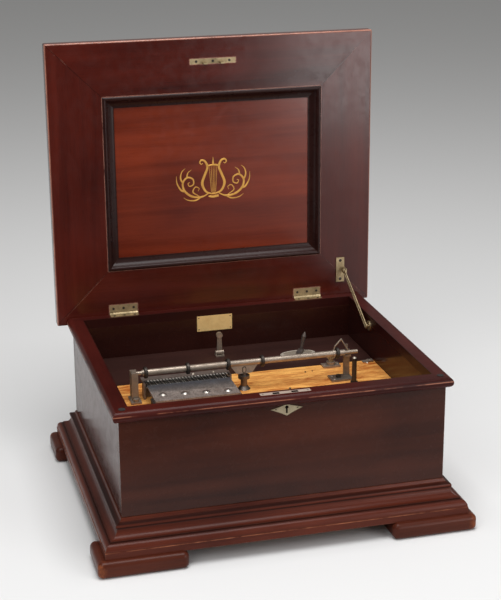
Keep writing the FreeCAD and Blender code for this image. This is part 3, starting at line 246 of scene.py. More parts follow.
class EffectGroups:
    """The shader effects that several finishes share, each built once."""

    def __init__(self) -> None:
        """Builds the groups."""
        self.grain = self._grain()
        self.wear = self._wear()
        self.dust = self._dust()
        self.brush = self._brush()

    @staticmethod
    def _start(name: str, inputs: Sequence[tuple[str, str, Any]],
               outputs: Sequence[tuple[str, str]]) -> tuple[bpy.types.NodeTree, NodeBench, Any, Any]:
        """Makes an empty group with named sockets.

        Args:
            name: The group's name.
            inputs: Name, socket type and starting value of each input.
            outputs: Name and socket type of each output.

        Returns:
            The tree, its bench, the input node and the output node.
        """
        tree = bpy.data.node_groups.new(name, "ShaderNodeTree")
        for label, kind, value in inputs:
            socket = tree.interface.new_socket(name=label, in_out="INPUT", socket_type=kind)
            if value is not None:
                socket.default_value = value
        for label, kind in outputs:
            tree.interface.new_socket(name=label, in_out="OUTPUT", socket_type=kind)
        bench = NodeBench(tree)
        return tree, bench, bench.add("NodeGroupInput"), bench.add("NodeGroupOutput")

    def _grain(self) -> bpy.types.NodeTree:
        """Polished wood with its grain along the first axis: bands, a soft figure and fine pores.

        Returns:
            The group.
        """
        tree, bench, inward, outward = self._start(
            "Wood grain",
            (("Vector", "NodeSocketVector", None), ("Dark", "NodeSocketColor", paint(50, 24, 18)),
             ("Light", "NodeSocketColor", paint(100, 50, 36)), ("Pore depth", "NodeSocketFloat", 0.5)),
            (("Color", "NodeSocketColor"), ("Height", "NodeSocketFloat")))
        place = inward.outputs["Vector"]
        bands = bench.noise(bench.stretched(place, 1.6, 34.0, 34.0), 1.0, 4.0, 0.55, 0.6)
        figure = bench.noise(bench.stretched(place, 5.0, 9.0, 9.0), 1.0, 2.0, 0.5, 0.3)
        fibres = bench.noise(bench.stretched(place, 22.0, 620.0, 620.0), 1.0, 2.0, 0.6)
        pores = bench.noise(bench.stretched(place, 60.0, 1500.0, 1500.0), 1.0, 1.0, 0.5)
        share = bench.sum_of((bands, 0.55), (figure, 0.45))
        share = bench.sum_of((bench.span(share, 0.34, 0.66), 0.75), (fibres, 0.25))
        pit = bench.span(pores, 0.62, 0.74)
        pit = bench.maths("MULTIPLY", pit, inward.outputs["Pore depth"])
        colour = bench.blend(share, inward.outputs["Dark"], inward.outputs["Light"])
        shade = bench.maths("SUBTRACT", 1.0, bench.maths("MULTIPLY", pit, 0.55))
        grey = bench.add("ShaderNodeCombineColor")
        for socket in grey.inputs:
            bench.feed(socket, shade)
        bench.feed(outward.inputs["Color"], bench.blend(1.0, colour, grey.outputs[0], "MULTIPLY"))
        height = bench.maths("SUBTRACT", bench.maths("MULTIPLY", fibres, 0.4), pit)
        bench.feed(outward.inputs["Height"], height)
        return tree

    def _wear(self) -> bpy.types.NodeTree:
        """A mask that follows the sharp edges of a piece, broken up as worn polish is; on the lid it also
        paints a highlight on the rounded edges.

        Returns:
            The group.
        """
        tree, bench, inward, outward = self._start(
            "Edge wear",
            (("Vector", "NodeSocketVector", None), ("Radius", "NodeSocketFloat", 0.0015),
             ("Amount", "NodeSocketFloat", 0.5), ("Coverage", "NodeSocketFloat", 0.0)),
            (("Mask", "NodeSocketFloat"),))
        soft = bench.add("ShaderNodeBevel", samples=4)
        bench.feed(soft.inputs["Radius"], inward.outputs["Radius"])
        flat = bench.add("ShaderNodeNewGeometry")
        facing = bench.add("ShaderNodeVectorMath", operation="DOT_PRODUCT")
        bench.feed(facing.inputs[0], soft.outputs[0])
        bench.feed(facing.inputs[1], flat.outputs["True Normal"])
        edge = bench.span(bench.maths("SUBTRACT", 1.0, facing.outputs["Value"]), 0.03, 0.2)
        rubs = bench.noise(inward.outputs["Vector"], 46.0, 5.0, 0.65)
        spread = bench.maths("ADD", rubs, inward.outputs["Coverage"])
        mask = bench.maths("MULTIPLY", edge, bench.span(spread, 0.42, 0.62))
        bench.feed(outward.inputs["Mask"], bench.maths("MULTIPLY", mask, inward.outputs["Amount"], True))
        return tree

    def _dust(self) -> bpy.types.NodeTree:
        """Cloudy patches of tarnish, handling marks or settled dust.

        Returns:
            The group.
        """
        tree, bench, inward, outward = self._start(
            "Patina",
            (("Vector", "NodeSocketVector", None), ("Amount", "NodeSocketFloat", 0.5)),
            (("Mask", "NodeSocketFloat"), ("Speckle", "NodeSocketFloat")))
        clouds = bench.span(bench.noise(inward.outputs["Vector"], 70.0, 5.0, 0.6, 0.4), 0.38, 0.7)
        specks = bench.span(bench.noise(inward.outputs["Vector"], 520.0, 2.0, 0.6), 0.56, 0.72)
        for name, pattern in (("Mask", clouds), ("Speckle", specks)):
            bench.feed(outward.inputs[name], bench.maths("MULTIPLY", pattern, inward.outputs["Amount"], True))
        return tree

    def _brush(self) -> bpy.types.NodeTree:
        """Fine tool marks along the first axis of a metal piece.

        Returns:
            The group.
        """
        tree, bench, inward, outward = self._start(
            "Tool marks",
            (("Vector", "NodeSocketVector", None),),
            (("Marks", "NodeSocketFloat"),))
        place = bench.stretched(inward.outputs["Vector"], 40.0, 1400.0, 1400.0)
        bench.feed(outward.inputs["Marks"], bench.noise(place, 1.0, 3.0, 0.6))
        return tree


class Run(Enum):
    """How the grain or the tool marks lie on a piece."""

    ALONG_X = "XYZ"
    ALONG_Y = "YXZ"
    RIM = "rim"
    PLINTH = "plinth"
    LID = "lid"


@dataclass(frozen=True)
class Mitres:
    """Where the mitres of a framed piece lie, in metres.

    The inner rectangle has the half width and the two edges along the axis. From its corners each mitre
    runs out over the widths of the stile and of the lower or upper rail.
    """

    half_x: float
    low: float
    high: float
    axis: str
    stile_w: float
    low_w: float
    high_w: float


FRAMES: dict[Run, Mitres] = {
    Run.RIM: Mitres(0.224, -0.187, 0.187, "Y", 0.025, 0.025, 0.016),
    Run.PLINTH: Mitres(0.240, -0.203, 0.203, "Y", 0.030, 0.030, 0.030),
    Run.LID: Mitres(0.178, 0.3056, 0.5872, "Z", 0.086, 0.082, 0.0860),
}


def grain_place(bench: NodeBench, run: Run) -> tuple[bpy.types.NodeSocket, Any]:
    """The place on a piece with its first axis along the grain, and the lines of its mitres.

    Args:
        bench: The material's bench.
        run: How the grain lies.

    Returns:
        The place, turned on the stiles of a mitred frame, and a mask of the mitre lines.
    """
    place = bench.here()
    if run not in FRAMES:
        return bench.order(place, run.value), 0.0
    joint = FRAMES[run]
    apart = bench.apart(place)
    up = apart[joint.axis]
    out_x = bench.maths("SUBTRACT", bench.maths("ABSOLUTE", apart["X"]), joint.half_x)
    out_x = bench.maths("DIVIDE", out_x, joint.stile_w)
    over = bench.maths("DIVIDE", bench.maths("SUBTRACT", up, joint.high), joint.high_w)
    under = bench.maths("DIVIDE", bench.maths("SUBTRACT", joint.low, up), joint.low_w)
    rail = bench.maths("MAXIMUM", over, under)
    stile = bench.maths("GREATER_THAN", out_x, rail)
    other = bench.order(place, "ZXY" if joint.axis == "Z" else "YXZ")
    line = bench.span(bench.gap(out_x, rail), 0.004, 0.012, 1.0, 0.0)
    line = bench.maths("MULTIPLY", line, bench.maths("GREATER_THAN", out_x, 0.0))
    return bench.blend(stile, place, other, kind="VECTOR"), line


@dataclass(frozen=True)
class Finish:
    """A finish with a name; each kind builds its own material."""

    name: str

    def start(self) -> tuple[bpy.types.Material, NodeBench, bpy.types.Node]:
        """Makes an empty material with its surface shader.

        Returns:
            The material, its bench and its Principled shader.
        """
        material = bpy.data.materials.new(self.name)
        material.use_nodes = True
        return material, NodeBench(material.node_tree), material.node_tree.nodes["Principled BSDF"]

    @staticmethod
    def group(bench: NodeBench, tree: bpy.types.NodeTree, **values: Any) -> bpy.types.Node:
        """Places a shared effect in a material.

        Args:
            bench: The material's bench.
            tree: The effect.
            **values: Its inputs by name, with _ for a space.

        Returns:
            The group node.
        """
        node = bench.add("ShaderNodeGroup", node_tree=tree)
        for name, value in values.items():
            bench.feed(node.inputs[name.replace("_", " ")], value)
        return node

    @staticmethod
    def relief(bench: NodeBench, shader: bpy.types.Node, height: Any, strength: float,
               distance: float) -> None:
        """Gives the surface a fine relief.

        Args:
            bench: The material's bench.
            shader: The surface shader.
            height: The relief's height.
            strength: How much it shows.
            distance: How deep it is, in metres.
        """
        bump = bench.add("ShaderNodeBump")
        bump.inputs["Strength"].default_value = strength
        bump.inputs["Distance"].default_value = distance
        bench.feed(bump.inputs["Height"], height)
        bench.feed(shader.inputs["Normal"], bump.outputs[0])

    def build(self, effects: EffectGroups) -> bpy.types.Material:
        """Builds the material; each kind of finish has its own way."""
        raise NotImplementedError


@dataclass(frozen=True)
class LidEdge:
    """The rounded outer edges of the open lid, in metres.

    It has the lid's half width and top, its inner face at the floor and that face's slope. Then come where
    the rounding starts and is full, and the depths over which the two lines of painted highlight, with some
    wear, fade.
    """

    half_x: float = 0.264
    top: float = 0.6731
    face_y: float = 0.20297
    slope: float = 0.00873
    round_out: float = 0.0022
    round_in: float = 0.0008
    inner: Point = (0.0026, 0.004)
    outer: Point = (0.0166, 0.018)


@dataclass(frozen=True)
class Wood(Finish):
    """Polished or plain wood.

    A piece may carry painted shade inside a half width and half depth, where the case's inside lies in
    shadow, dark lines of painted shade at the heights of its grooves, and be worn pale along a line on its
    nose, given by the nose's half width, half depth and height. Scuffed corners have a half width and half
    depth too, and the lid's outer edges carry a painted highlight with some wear.
    """

    dark: Colour = paint(50, 24, 18)
    light: Colour = paint(100, 50, 36)
    worn: Colour = paint(160, 104, 74)
    run: Run = Run.ALONG_X
    rough: float = 0.3
    gloss: float = 0.14
    coat: float = 0.1
    coat_rough: float = 0.16
    wear: float = 0.6
    wear_radius: float = 0.0016
    coverage: float = 0.0
    pores: float = 0.5
    relief_depth: float = 0.25
    inner_shade: Colour = paint(34, 13, 12)
    groove_shade: Colour = paint(24, 9, 7)
    mitre_line: Colour = paint(20, 9, 8)
    nose_band: float = 0.0012
    scuff_reach: float = 0.012
    shaded_inside: Optional[Point] = None
    nose: Optional[Triple] = None
    scuff: Optional[Point] = None
    highlight_and_wear: Optional[LidEdge] = None
    grooves: tuple[float, ...] = ()

    def marked(self, bench: NodeBench, colour: Any) -> Any:
        """Adds the marks that lie at a set place: painted shade inside the case and in the grooves, worn
        lines on noses, scuffed corners, and a painted highlight with some wear on the lid's edges.

        Args:
            bench: The material's bench.
            colour: The wood's colour.

        Returns:
            The colour with its marks.
        """
        place = bench.here()
        apart = bench.apart(place)
        x, y = (bench.maths("ABSOLUTE", apart[letter]) for letter in "XY")
        z = apart["Z"]
        # Painted shade: the case's inside faces lie in shadow, so they are darkened within the half width and
        # half depth.
        if self.shaded_inside:
            inside = bench.maths("MULTIPLY", bench.maths("LESS_THAN", x, self.shaded_inside[0]),
                                 bench.maths("LESS_THAN", y, self.shaded_inside[1]))
            colour = bench.blend(bench.maths("MULTIPLY", inside, 0.75), colour, self.inner_shade)
        # Painted shade: a dark line at the height of each groove, where shade gathers.
        for level in self.grooves:
            line = bench.span(bench.gap(z, level), 0.0006, 0.002, 0.75, 0.0)
            colour = bench.blend(line, colour, self.groove_shade)
        if self.nose:
            half_x, half_y, height = self.nose
            out = bench.maths("MAXIMUM", bench.span(x, half_x - self.nose_band, half_x),
                              bench.span(y, half_y - self.nose_band, half_y))
            out = bench.maths("MULTIPLY", out, bench.span(bench.gap(z, height), 0.0003, 0.001, 1.0, 0.0))
            patches = bench.span(bench.noise(place, 30.0, 4.0, 0.6), 0.42, 0.6, 0.0, 0.75)
            colour = bench.blend(bench.maths("MULTIPLY", out, patches), colour, self.worn)
        if self.scuff:
            half_x, half_y = self.scuff
            corner = bench.maths("MULTIPLY", bench.span(x, half_x - self.scuff_reach, half_x),
                                 bench.span(y, half_y - self.scuff_reach, half_y))
            patches = bench.span(bench.noise(place, 90.0, 4.0, 0.65), 0.4, 0.6)
            corner = bench.maths("MULTIPLY", corner, 0.85)
            colour = bench.blend(bench.maths("MULTIPLY", corner, patches), colour, self.worn)
        # Painted highlight, with some wear, on the lid's rounded top and side edges where light catches them.
        if self.highlight_and_wear:
            lid = self.highlight_and_wear
            face = bench.maths("ADD", bench.maths("MULTIPLY", z, lid.slope), lid.face_y)
            depth = bench.maths("SUBTRACT", y, face)
            arris = bench.maths("MAXIMUM", bench.span(depth, *lid.inner, 1.0, 0.0),
                                bench.span(depth, *lid.outer))
            edge = bench.maths("MAXIMUM", *(bench.span(value, end - lid.round_out, end - lid.round_in)
                                            for value, end in ((x, lid.half_x), (z, lid.top))))
            edge = bench.maths("MULTIPLY", edge, arris)
            patches = bench.span(bench.noise(place, 30.0, 4.0, 0.6), 0.3, 0.55, 0.3, 0.7)
            colour = bench.blend(bench.maths("MULTIPLY", edge, patches), colour, self.worn)
        return colour

    def build(self, effects: EffectGroups) -> bpy.types.Material:
        """Builds the wood.

        Args:
            effects: The shared effects.

        Returns:
            The material.
        """
        material, bench, shader = self.start()
        place, mitre = grain_place(bench, self.run)
        grain = self.group(bench, effects.grain, Vector=place, Dark=self.dark, Light=self.light,
                           Pore_depth=self.pores)
        wear = self.group(bench, effects.wear, Vector=place, Radius=self.wear_radius, Amount=self.wear,
                          Coverage=self.coverage)
        dust = self.group(bench, effects.dust, Vector=place, Amount=0.3)
        colour = bench.blend(bench.maths("MULTIPLY", mitre, 0.6), grain.outputs["Color"], self.mitre_line)
        colour = self.marked(bench, bench.blend(wear.outputs["Mask"], colour, self.worn))
        bench.feed(shader.inputs["Base Color"], colour)
        rough = bench.maths("ADD", self.rough, bench.maths("MULTIPLY", dust.outputs["Mask"], 0.3))
        rough = bench.maths("ADD", rough, bench.maths("MULTIPLY", wear.outputs["Mask"], 0.25), True)
        bench.feed(shader.inputs["Roughness"], rough)
        shader.inputs["Specular IOR Level"].default_value = self.gloss
        shader.inputs["Coat Weight"].default_value = self.coat
        shader.inputs["Coat Roughness"].default_value = self.coat_rough
        self.relief(bench, shader, grain.outputs["Height"], self.relief_depth, 0.0003)
        return material


@dataclass(frozen=True)
class Metal(Finish):
    """Plated, polished or aged metal."""

    bright: Colour = paint(200, 192, 178)
    dull: Colour = paint(110, 98, 84)
    run: Run = Run.ALONG_X
    rough: float = 0.25
    aged: float = 0.6
    wear: float = 0.4
    metallic: float = 1.0

    def colours(self, bench: NodeBench) -> tuple[Any, Any]:
        """The metal's two colours.

        Args:
            bench: The material's bench, not used here.

        Returns:
            The colour where it is bright and where it is dull.
        """
        return self.bright, self.dull

    def build(self, effects: EffectGroups) -> bpy.types.Material:
        """Builds the metal.

        Args:
            effects: The shared effects.

        Returns:
            The material.
        """
        material, bench, shader = self.start()
        place, _ = grain_place(bench, self.run)
        patina = self.group(bench, effects.dust, Vector=place, Amount=self.aged)
        marks = self.group(bench, effects.brush, Vector=place)
        wear = self.group(bench, effects.wear, Vector=place, Radius=0.0006, Amount=self.wear)
        specks = bench.maths("MULTIPLY", patina.outputs["Speckle"], 0.7)
        old = bench.maths("MAXIMUM", patina.outputs["Mask"], specks)
        old = bench.maths("SUBTRACT", old, wear.outputs["Mask"], True)
        bench.feed(shader.inputs["Base Color"], bench.blend(old, *self.colours(bench)))
        rough = bench.maths("ADD", self.rough, bench.maths("MULTIPLY", old, 0.3))
        rough = bench.maths("ADD", rough, bench.maths("MULTIPLY", marks.outputs["Marks"], 0.12), True)
        bench.feed(shader.inputs["Roughness"], rough)
        shader.inputs["Metallic"].default_value = self.metallic
        self.relief(bench, shader, marks.outputs["Marks"], 0.12, 0.0001)
        return material


@dataclass(frozen=True)
class TwoToneMetal(Metal):
    """Metal with other colours inside a block: where it is plated in part, where another piece is set in it,
    and on the start lever, where the block is a painted highlight on the top of its ball.
    """

    other_bright: Colour = paint(190, 180, 166)
    other_dull: Colour = paint(118, 104, 88)
    low: Triple = (-1.0, -1.0, 0.0)
    high: Triple = (1.0, 1.0, 1.0)

    def toned(self, bench: NodeBench, share: Any) -> tuple[Any, Any]:
        """Mixes both pairs of colours.

        Args:
            bench: The material's bench.
            share: Where the other colours show.

        Returns:
            The bright and the dull colour.
        """
        return (bench.blend(share, self.bright, self.other_bright),
                bench.blend(share, self.dull, self.other_dull))

    def colours(self, bench: NodeBench) -> tuple[Any, Any]:
        """The colours outside and inside the block.

        Args:
            bench: The material's bench.

        Returns:
            The bright and the dull colour, each changed inside the block.
        """
        apart = bench.apart(bench.here())
        inside: Any = 1.0
        for letter, low, high in zip("XYZ", self.low, self.high):
            off = bench.gap(apart[letter], (low + high) / 2)
            inside = bench.maths("MULTIPLY", inside, bench.maths("LESS_THAN", off, (high - low) / 2))
        return self.toned(bench, inside)


@dataclass(frozen=True)
class TippedMetal(TwoToneMetal):
    """Metal with other colours beyond a radius from an axle: painted highlights on the points of the wheels,
    set in a regular pattern of painted glints, over hubs painted dark as shade.
    """

    axle: Point = (-0.002, 0.188)
    radius: float = 0.0043
    fade: float = 0.0006
    glint: Point = (1290.0, 1000.0)

    def colours(self, bench: NodeBench) -> tuple[Any, Any]:
        """The painted shade of the hub and the painted highlights of the points.

        Args:
            bench: The material's bench.

        Returns:
            The bright and the dull colour, each changed beyond the radius.
        """
        apart = bench.apart(bench.here())
        legs = [bench.maths("POWER", bench.gap(apart[letter], middle), 2.0)
                for letter, middle in zip("YZ", self.axle)]
        reach = bench.maths("SQRT", bench.maths("ADD", *legs))
        # Painted glints: a regular ripple across the row picks which points carry the painted highlight.
        ripple = bench.sum_of((apart["X"], self.glint[0]), (apart["Z"], self.glint[1]))
        glints = bench.span(bench.maths("SINE", ripple), -0.2, 0.2)
        points = bench.span(reach, self.radius, self.radius + self.fade)
        return self.toned(bench, bench.maths("MULTIPLY", points, glints))


@dataclass(frozen=True)
class CombSteel(Finish):
    """Ground comb steel that turns blue towards the tooth tips, with fine dark lines along the teeth painted
    as the shade in the slits between them.
    """

    body: Colour = paint(170, 159, 152)
    tips: Colour = paint(100, 106, 116)
    slit_shade: Colour = paint(60, 54, 52)
    tarnish: Colour = paint(96, 84, 76)
    root_y: float = -0.044
    tip_y: float = -0.016

    def build(self, effects: EffectGroups) -> bpy.types.Material:
        """Builds the comb steel.

        Args:
            effects: The shared effects.

        Returns:
            The material.
        """
        material, bench, shader = self.start()
        place = bench.here()
        share = bench.span(bench.apart(place)["Y"], self.root_y, self.tip_y)
        patina = self.group(bench, effects.dust, Vector=place, Amount=0.5)
        marks = self.group(bench, effects.brush, Vector=bench.order(place, "YXZ"))
        # Painted shade in the slits between the teeth: fine dark lines along them.
        lines = bench.noise(bench.stretched(place, 420.0, 160.0, 160.0), 1.0, 2.0, 0.6)
        lines = bench.span(lines, 0.42, 0.62, 0.0, 0.45)
        colour = bench.blend(lines, bench.blend(share, self.body, self.tips), self.slit_shade)
        colour = bench.blend(patina.outputs["Mask"], colour, self.tarnish)
        bench.feed(shader.inputs["Base Color"], colour)
        rough = bench.maths("ADD", 0.3, bench.maths("MULTIPLY", marks.outputs["Marks"], 0.2))
        bench.feed(shader.inputs["Roughness"], rough)
        shader.inputs["Metallic"].default_value = 0.5
        self.relief(bench, shader, marks.outputs["Marks"], 0.2, 0.0001)
        return material


@dataclass(frozen=True)
class GoldBed(Finish):
    """The bed's bronzed lacquer, combed into rippled lines along the box."""

    dark: Colour = paint(188, 99, 34)
    light: Colour = paint(255, 190, 102)
    spots: Colour = paint(96, 50, 20)

    def build(self, effects: EffectGroups) -> bpy.types.Material:
        """Builds the lacquer.

        Args:
            effects: The shared effects.

        Returns:
            The material.
        """
        material, bench, shader = self.start()
        place = bench.here()
        ripples = bench.noise(bench.stretched(place, 26.0, 130.0, 26.0), 1.0, 4.0, 0.6, 1.2)
        broad = bench.noise(bench.stretched(place, 5.0, 16.0, 5.0), 1.0, 2.0, 0.5, 0.5)
        patina = self.group(bench, effects.dust, Vector=place, Amount=0.35)
        share = bench.span(bench.sum_of((ripples, 0.7), (broad, 0.3)), 0.36, 0.6)
        colour = bench.blend(share, self.dark, self.light)
        colour = bench.blend(patina.outputs["Speckle"], colour, self.spots)
        bench.feed(shader.inputs["Base Color"], colour)
        bench.feed(shader.inputs["Roughness"], bench.span(ripples, 0.3, 0.7, 0.42, 0.58))
        shader.inputs["Metallic"].default_value = 0.15
        shader.inputs["Coat Weight"].default_value = 0.2
        self.relief(bench, shader, ripples, 0.3, 0.0004)
        return material


@dataclass(frozen=True)
class Felt(Finish):
    """Dark felt of the buffers."""

    dark: Colour = paint(15, 11, 10)
    light: Colour = paint(34, 26, 24)

    def build(self, effects: EffectGroups) -> bpy.types.Material:
        """Builds the felt.

        Args:
            effects: The shared effects, not used here.

        Returns:
            The material.
        """
        material, bench, shader = self.start()
        place = bench.here()
        fluff = bench.noise(place, 1800.0, 4.0, 0.7)
        bench.feed(shader.inputs["Base Color"], bench.blend(fluff, self.dark, self.light))
        shader.inputs["Roughness"].default_value = 0.95
        shader.inputs["Sheen Weight"].default_value = 0.05
        self.relief(bench, shader, fluff, 0.5, 0.0004)
        return material


FINISHES: dict[str, Finish] = {
    # The inside faces of the walls and the rim are darkened inside their half widths and depths as painted
    # shade.
    "front": Wood("front mahogany", paint(36, 13, 8), paint(76, 35, 22), rough=0.22, gloss=0.2, coat=0.08,
                  relief_depth=0.1, shaded_inside=(0.2245, 0.1875)),
    "side": Wood("side mahogany", paint(46, 20, 16), paint(88, 46, 36), run=Run.ALONG_Y, rough=0.14,
                 gloss=0.11, coat=0.06, coat_rough=0.1, relief_depth=0.03, shaded_inside=(0.2245, 0.1875)),
    "rim": Wood("rim mahogany", paint(40, 11, 9), paint(80, 28, 22), paint(182, 118, 90), run=Run.RIM,
                wear=0.25, gloss=0.1, coat=0.06, shaded_inside=(0.2252, 0.1882), nose=(0.2490, 0.2120, 0.2275)),
    # The lid's strong edge wear and its edge lines are a painted highlight on its rounded edges, with some
    # wear.
    "lid": Wood("lid mahogany", paint(44, 11, 8), paint(88, 30, 21), paint(196, 138, 118), run=Run.LID,
                rough=0.16, gloss=0.35, coat=0.08, coat_rough=0.1, wear=0.9, wear_radius=0.003,
                coverage=0.14, relief_depth=0.1, highlight_and_wear=LidEdge()),
    "panel": Wood("panel mahogany", paint(68, 18, 9), paint(130, 50, 26), rough=0.16, gloss=0.35, coat=0.08,
                  coat_rough=0.1, wear=0.0, pores=0.35, relief_depth=0.1),
    "bead": Wood("panel moulding wood", paint(28, 12, 11), paint(46, 22, 19), rough=0.26, coat=0.12,
                 wear=0.1, relief_depth=0.05),
    # The plinth's groove heights get dark lines of painted shade.
    "plinth": Wood("plinth mahogany", paint(54, 18, 11), paint(104, 47, 31), paint(176, 112, 80),
                   run=Run.PLINTH, gloss=0.1, wear=0.3, wear_radius=0.0012, nose=(0.2700, 0.2330, 0.0355),
                   grooves=(0.0468, 0.0612, 0.0674)),
    "foot": Wood("foot mahogany", paint(48, 18, 11), paint(97, 45, 29), paint(146, 80, 46), gloss=0.1,
                 wear=0.6, coverage=0.3, scuff=(0.2800, 0.2400)),
    "shelf": Wood("shelf wood", paint(32, 17, 15), paint(62, 37, 32), rough=0.42, coat=0.04, wear=0.2),
    "pine": Wood("plain pine", paint(150, 108, 66), paint(196, 156, 104), coat=0.0, rough=0.6, wear=0.1,
                 pores=0.2),
    "bed": GoldBed("bronzed bed"),
    "nickel": Metal("worn nickel", paint(162, 148, 134), paint(96, 84, 73), rough=0.3, aged=0.5,
                    metallic=0.65),
    "polish": Metal("polished screw steel", paint(178, 172, 165), paint(104, 97, 90), rough=0.25, aged=0.4),
    "bracket": TwoToneMetal("bracket nickel", paint(152, 150, 147), paint(98, 95, 91), rough=0.3,
                            metallic=0.5, other_bright=paint(44, 40, 38), other_dull=paint(26, 23, 22),
                            low=(-0.013, -0.0045, 0.18), high=(-0.005, 0.0005, 0.22)),
    "spindle": Metal("spindle steel", paint(122, 112, 104), paint(54, 48, 44), rough=0.22, aged=0.7,
                     metallic=0.85),
    "handle": Metal("handle steel", paint(122, 110, 104), paint(66, 57, 54), rough=0.32, aged=0.6,
                    metallic=0.7),
    "rest": TwoToneMetal("rest nickel", paint(150, 138, 126), paint(86, 76, 67), rough=0.3, metallic=0.8,
                         other_bright=paint(74, 68, 62), other_dull=paint(38, 33, 30),
                         low=(0.138, -0.01, 0.1681), high=(0.148, 0.002, 0.173)),
    "dish": TwoToneMetal("winding plate nickel", paint(196, 186, 172), paint(126, 112, 97), rough=0.45,
                         metallic=0.4, other_bright=paint(158, 146, 130), other_dull=paint(112, 100, 88),
                         low=(0.0865, 0.106, 0.166), high=(0.1405, 0.128, 0.1676)),
    "screws": TwoToneMetal("screw steel", paint(70, 62, 54), paint(38, 32, 28), rough=0.3, metallic=0.82,
                           other_bright=paint(192, 181, 166), other_dull=paint(118, 104, 88),
                           high=(1.0, 1.0, 0.195)),
    # The start lever is black steel with a light colour above a set height: a painted highlight on the top of
    # its ball.
    "lever": TwoToneMetal("black steel with painted top highlight", paint(70, 64, 60), paint(34, 29, 26), rough=0.34,
                          metallic=0.8, low=(0.0, -0.1, 0.2075), high=(0.3, 0.1, 0.25)),
    "black": Metal("blackened steel", paint(70, 64, 60), paint(34, 29, 26), rough=0.36, aged=0.6,
                   metallic=0.85),
    "rack": Metal("rack steel", paint(138, 126, 118), paint(78, 69, 64), rough=0.32, aged=0.6,
                  metallic=0.6),
    # Star wheels: the dark hub colours are painted shade and the bright point colours are painted highlights.
    "star": TippedMetal("star wheel steel", paint(52, 46, 42), paint(28, 24, 22), rough=0.34, aged=0.4,
                        metallic=0.7, other_bright=paint(232, 226, 216), other_dull=paint(176, 165, 152)),
    "comb": CombSteel("comb steel"),
    "iron": Metal("painted iron", paint(52, 44, 40), paint(30, 25, 22), rough=0.5, aged=0.5, metallic=0.4),
    "steel": Metal("machined steel", paint(176, 174, 170), paint(108, 102, 96), rough=0.3, aged=0.4),
    "brass": Metal("aged brass", paint(178, 159, 124), paint(106, 89, 64), rough=0.36, aged=0.65,
                   metallic=0.85),
    "wheel": Metal("wheel brass", paint(206, 164, 88), paint(128, 92, 44), rough=0.28, aged=0.4),
    "label": Metal("label brass", paint(240, 206, 140), paint(214, 174, 110), rough=0.42, aged=0.6,
                   metallic=0.4),
    "plate": Metal("keyhole plate", paint(176, 162, 134), paint(112, 100, 78), rough=0.4, aged=0.75,
                   metallic=0.7),
    "lock": TwoToneMetal("lock steel", paint(196, 178, 164), paint(150, 132, 116), rough=0.36, metallic=0.3,
                         other_bright=paint(38, 32, 29), other_dull=paint(22, 19, 17),
                         low=(-0.03, -0.3, 0.0), high=(0.03, 0.3, 0.2327)),
    "gilt": Metal("old gilt", paint(222, 170, 84), paint(168, 112, 46), rough=0.42, aged=0.5, metallic=0.6),
    "felt": Felt("buffer felt"),
}

FINISH_NODES: dict[str, tuple[str, ...]] = {
    "front": ("front_wall", "back_wall"),
    "side": ("side_walls",),
    "rim": ("top_rim",),
    "lid": ("lid_frame",),
    "panel": ("lid_panel",),
    "bead": ("lid_moulding",),
    "plinth": ("base_moulding",),
    "foot": ("corner_feet",),
    "shelf": ("rear_shelf",),
    "pine": ("bottom_board", "bed_cleats"),
    "bed": ("bedplate",),
    "nickel": ("pressure_bar", "bar_lift_loop", "bar_pivot_post", "edge_lever", "edge_lever_foot",
               "drive_bearing_plate"),
    "bracket": ("hold_down_bracket",),
    "rest": ("bar_rest_post",),
    "polish": ("comb_screws",),
    "dish": ("crank_escutcheon",),
    "handle": ("winding_crank",),
    "black": ("pressure_rollers", "lid_screws"),
    "spindle": ("centre_spindle",),
    "lever": ("start_lever",),
    "star": ("star_wheels",),
    "rack": ("star_wheel_rack",),
    "plate": ("drive_arbor", "keyhole_escutcheon"),
    "brass": ("stay_stud", "hinge_case_leaves", "hinge_lid_leaves", "hinge_pins", "strike_plate",
              "stay_plate", "stay_arm"),
    "comb": ("comb",),
    "iron": ("comb_base",),
    "steel": ("winding_shaft", "winding_arbor", "ratchet_click", "mainspring", "governor_arbor",
              "governor_worm", "motor_pillars", "lock_bolt"),
    "wheel": ("winding_wheel", "spring_barrel", "barrel_cover", "governor_wheel", "motor_bottom_plate",
              "motor_top_plate"),
    "lock": ("lock_body",),
    "screws": ("case_screws",),
    "label": ("label_plate",),
    "felt": ("rim_buffers",),
}
NODE_FINISH: dict[str, str] = {node: key for key, nodes in FINISH_NODES.items() for node in nodes}


class Workshop:
    """Makes each finish once and turns meshes into pieces that ride on a body."""

    def __init__(self) -> None:
        """Builds the shared effects."""
        self.effects = EffectGroups()
        self.made: dict[str, bpy.types.Material] = {}

    def finish(self, key: str) -> bpy.types.Material:
        """The material of a finish, built on first use.

        Args:
            key: The finish's key.

        Returns:
            The material.
        """
        if key not in self.made:
            self.made[key] = FINISHES[key].build(self.effects)
        return self.made[key]

    def piece(self, name: str, mesh: bpy.types.Mesh, key: str, body: str) -> None:
        """Puts a finished mesh in the scene, on its body.

        Args:
            name: The piece's name.
            mesh: Its mesh, already in place.
            key: Its finish.
            body: The body that it rides on.
        """
        thing = bpy.data.objects.new(name, mesh)
        bpy.context.scene.collection.objects.link(thing)
        mesh.materials.clear()
        mesh.materials.append(self.finish(key))
        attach(thing, body)
        LOG.info("piece %s on %s", name, body)


def dress_nodes(shop: Workshop) -> None:
    """Gives every CAD node its finish.

    Args:
        shop: The maker of finishes.
    """
    for node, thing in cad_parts.items():
        material = shop.finish(NODE_FINISH[node])
        if not thing.material_slots:
            thing.data.materials.append(material)
        for slot in thing.material_slots:
            slot.material = material
        LOG.info("node %s in %s", node, material.name)


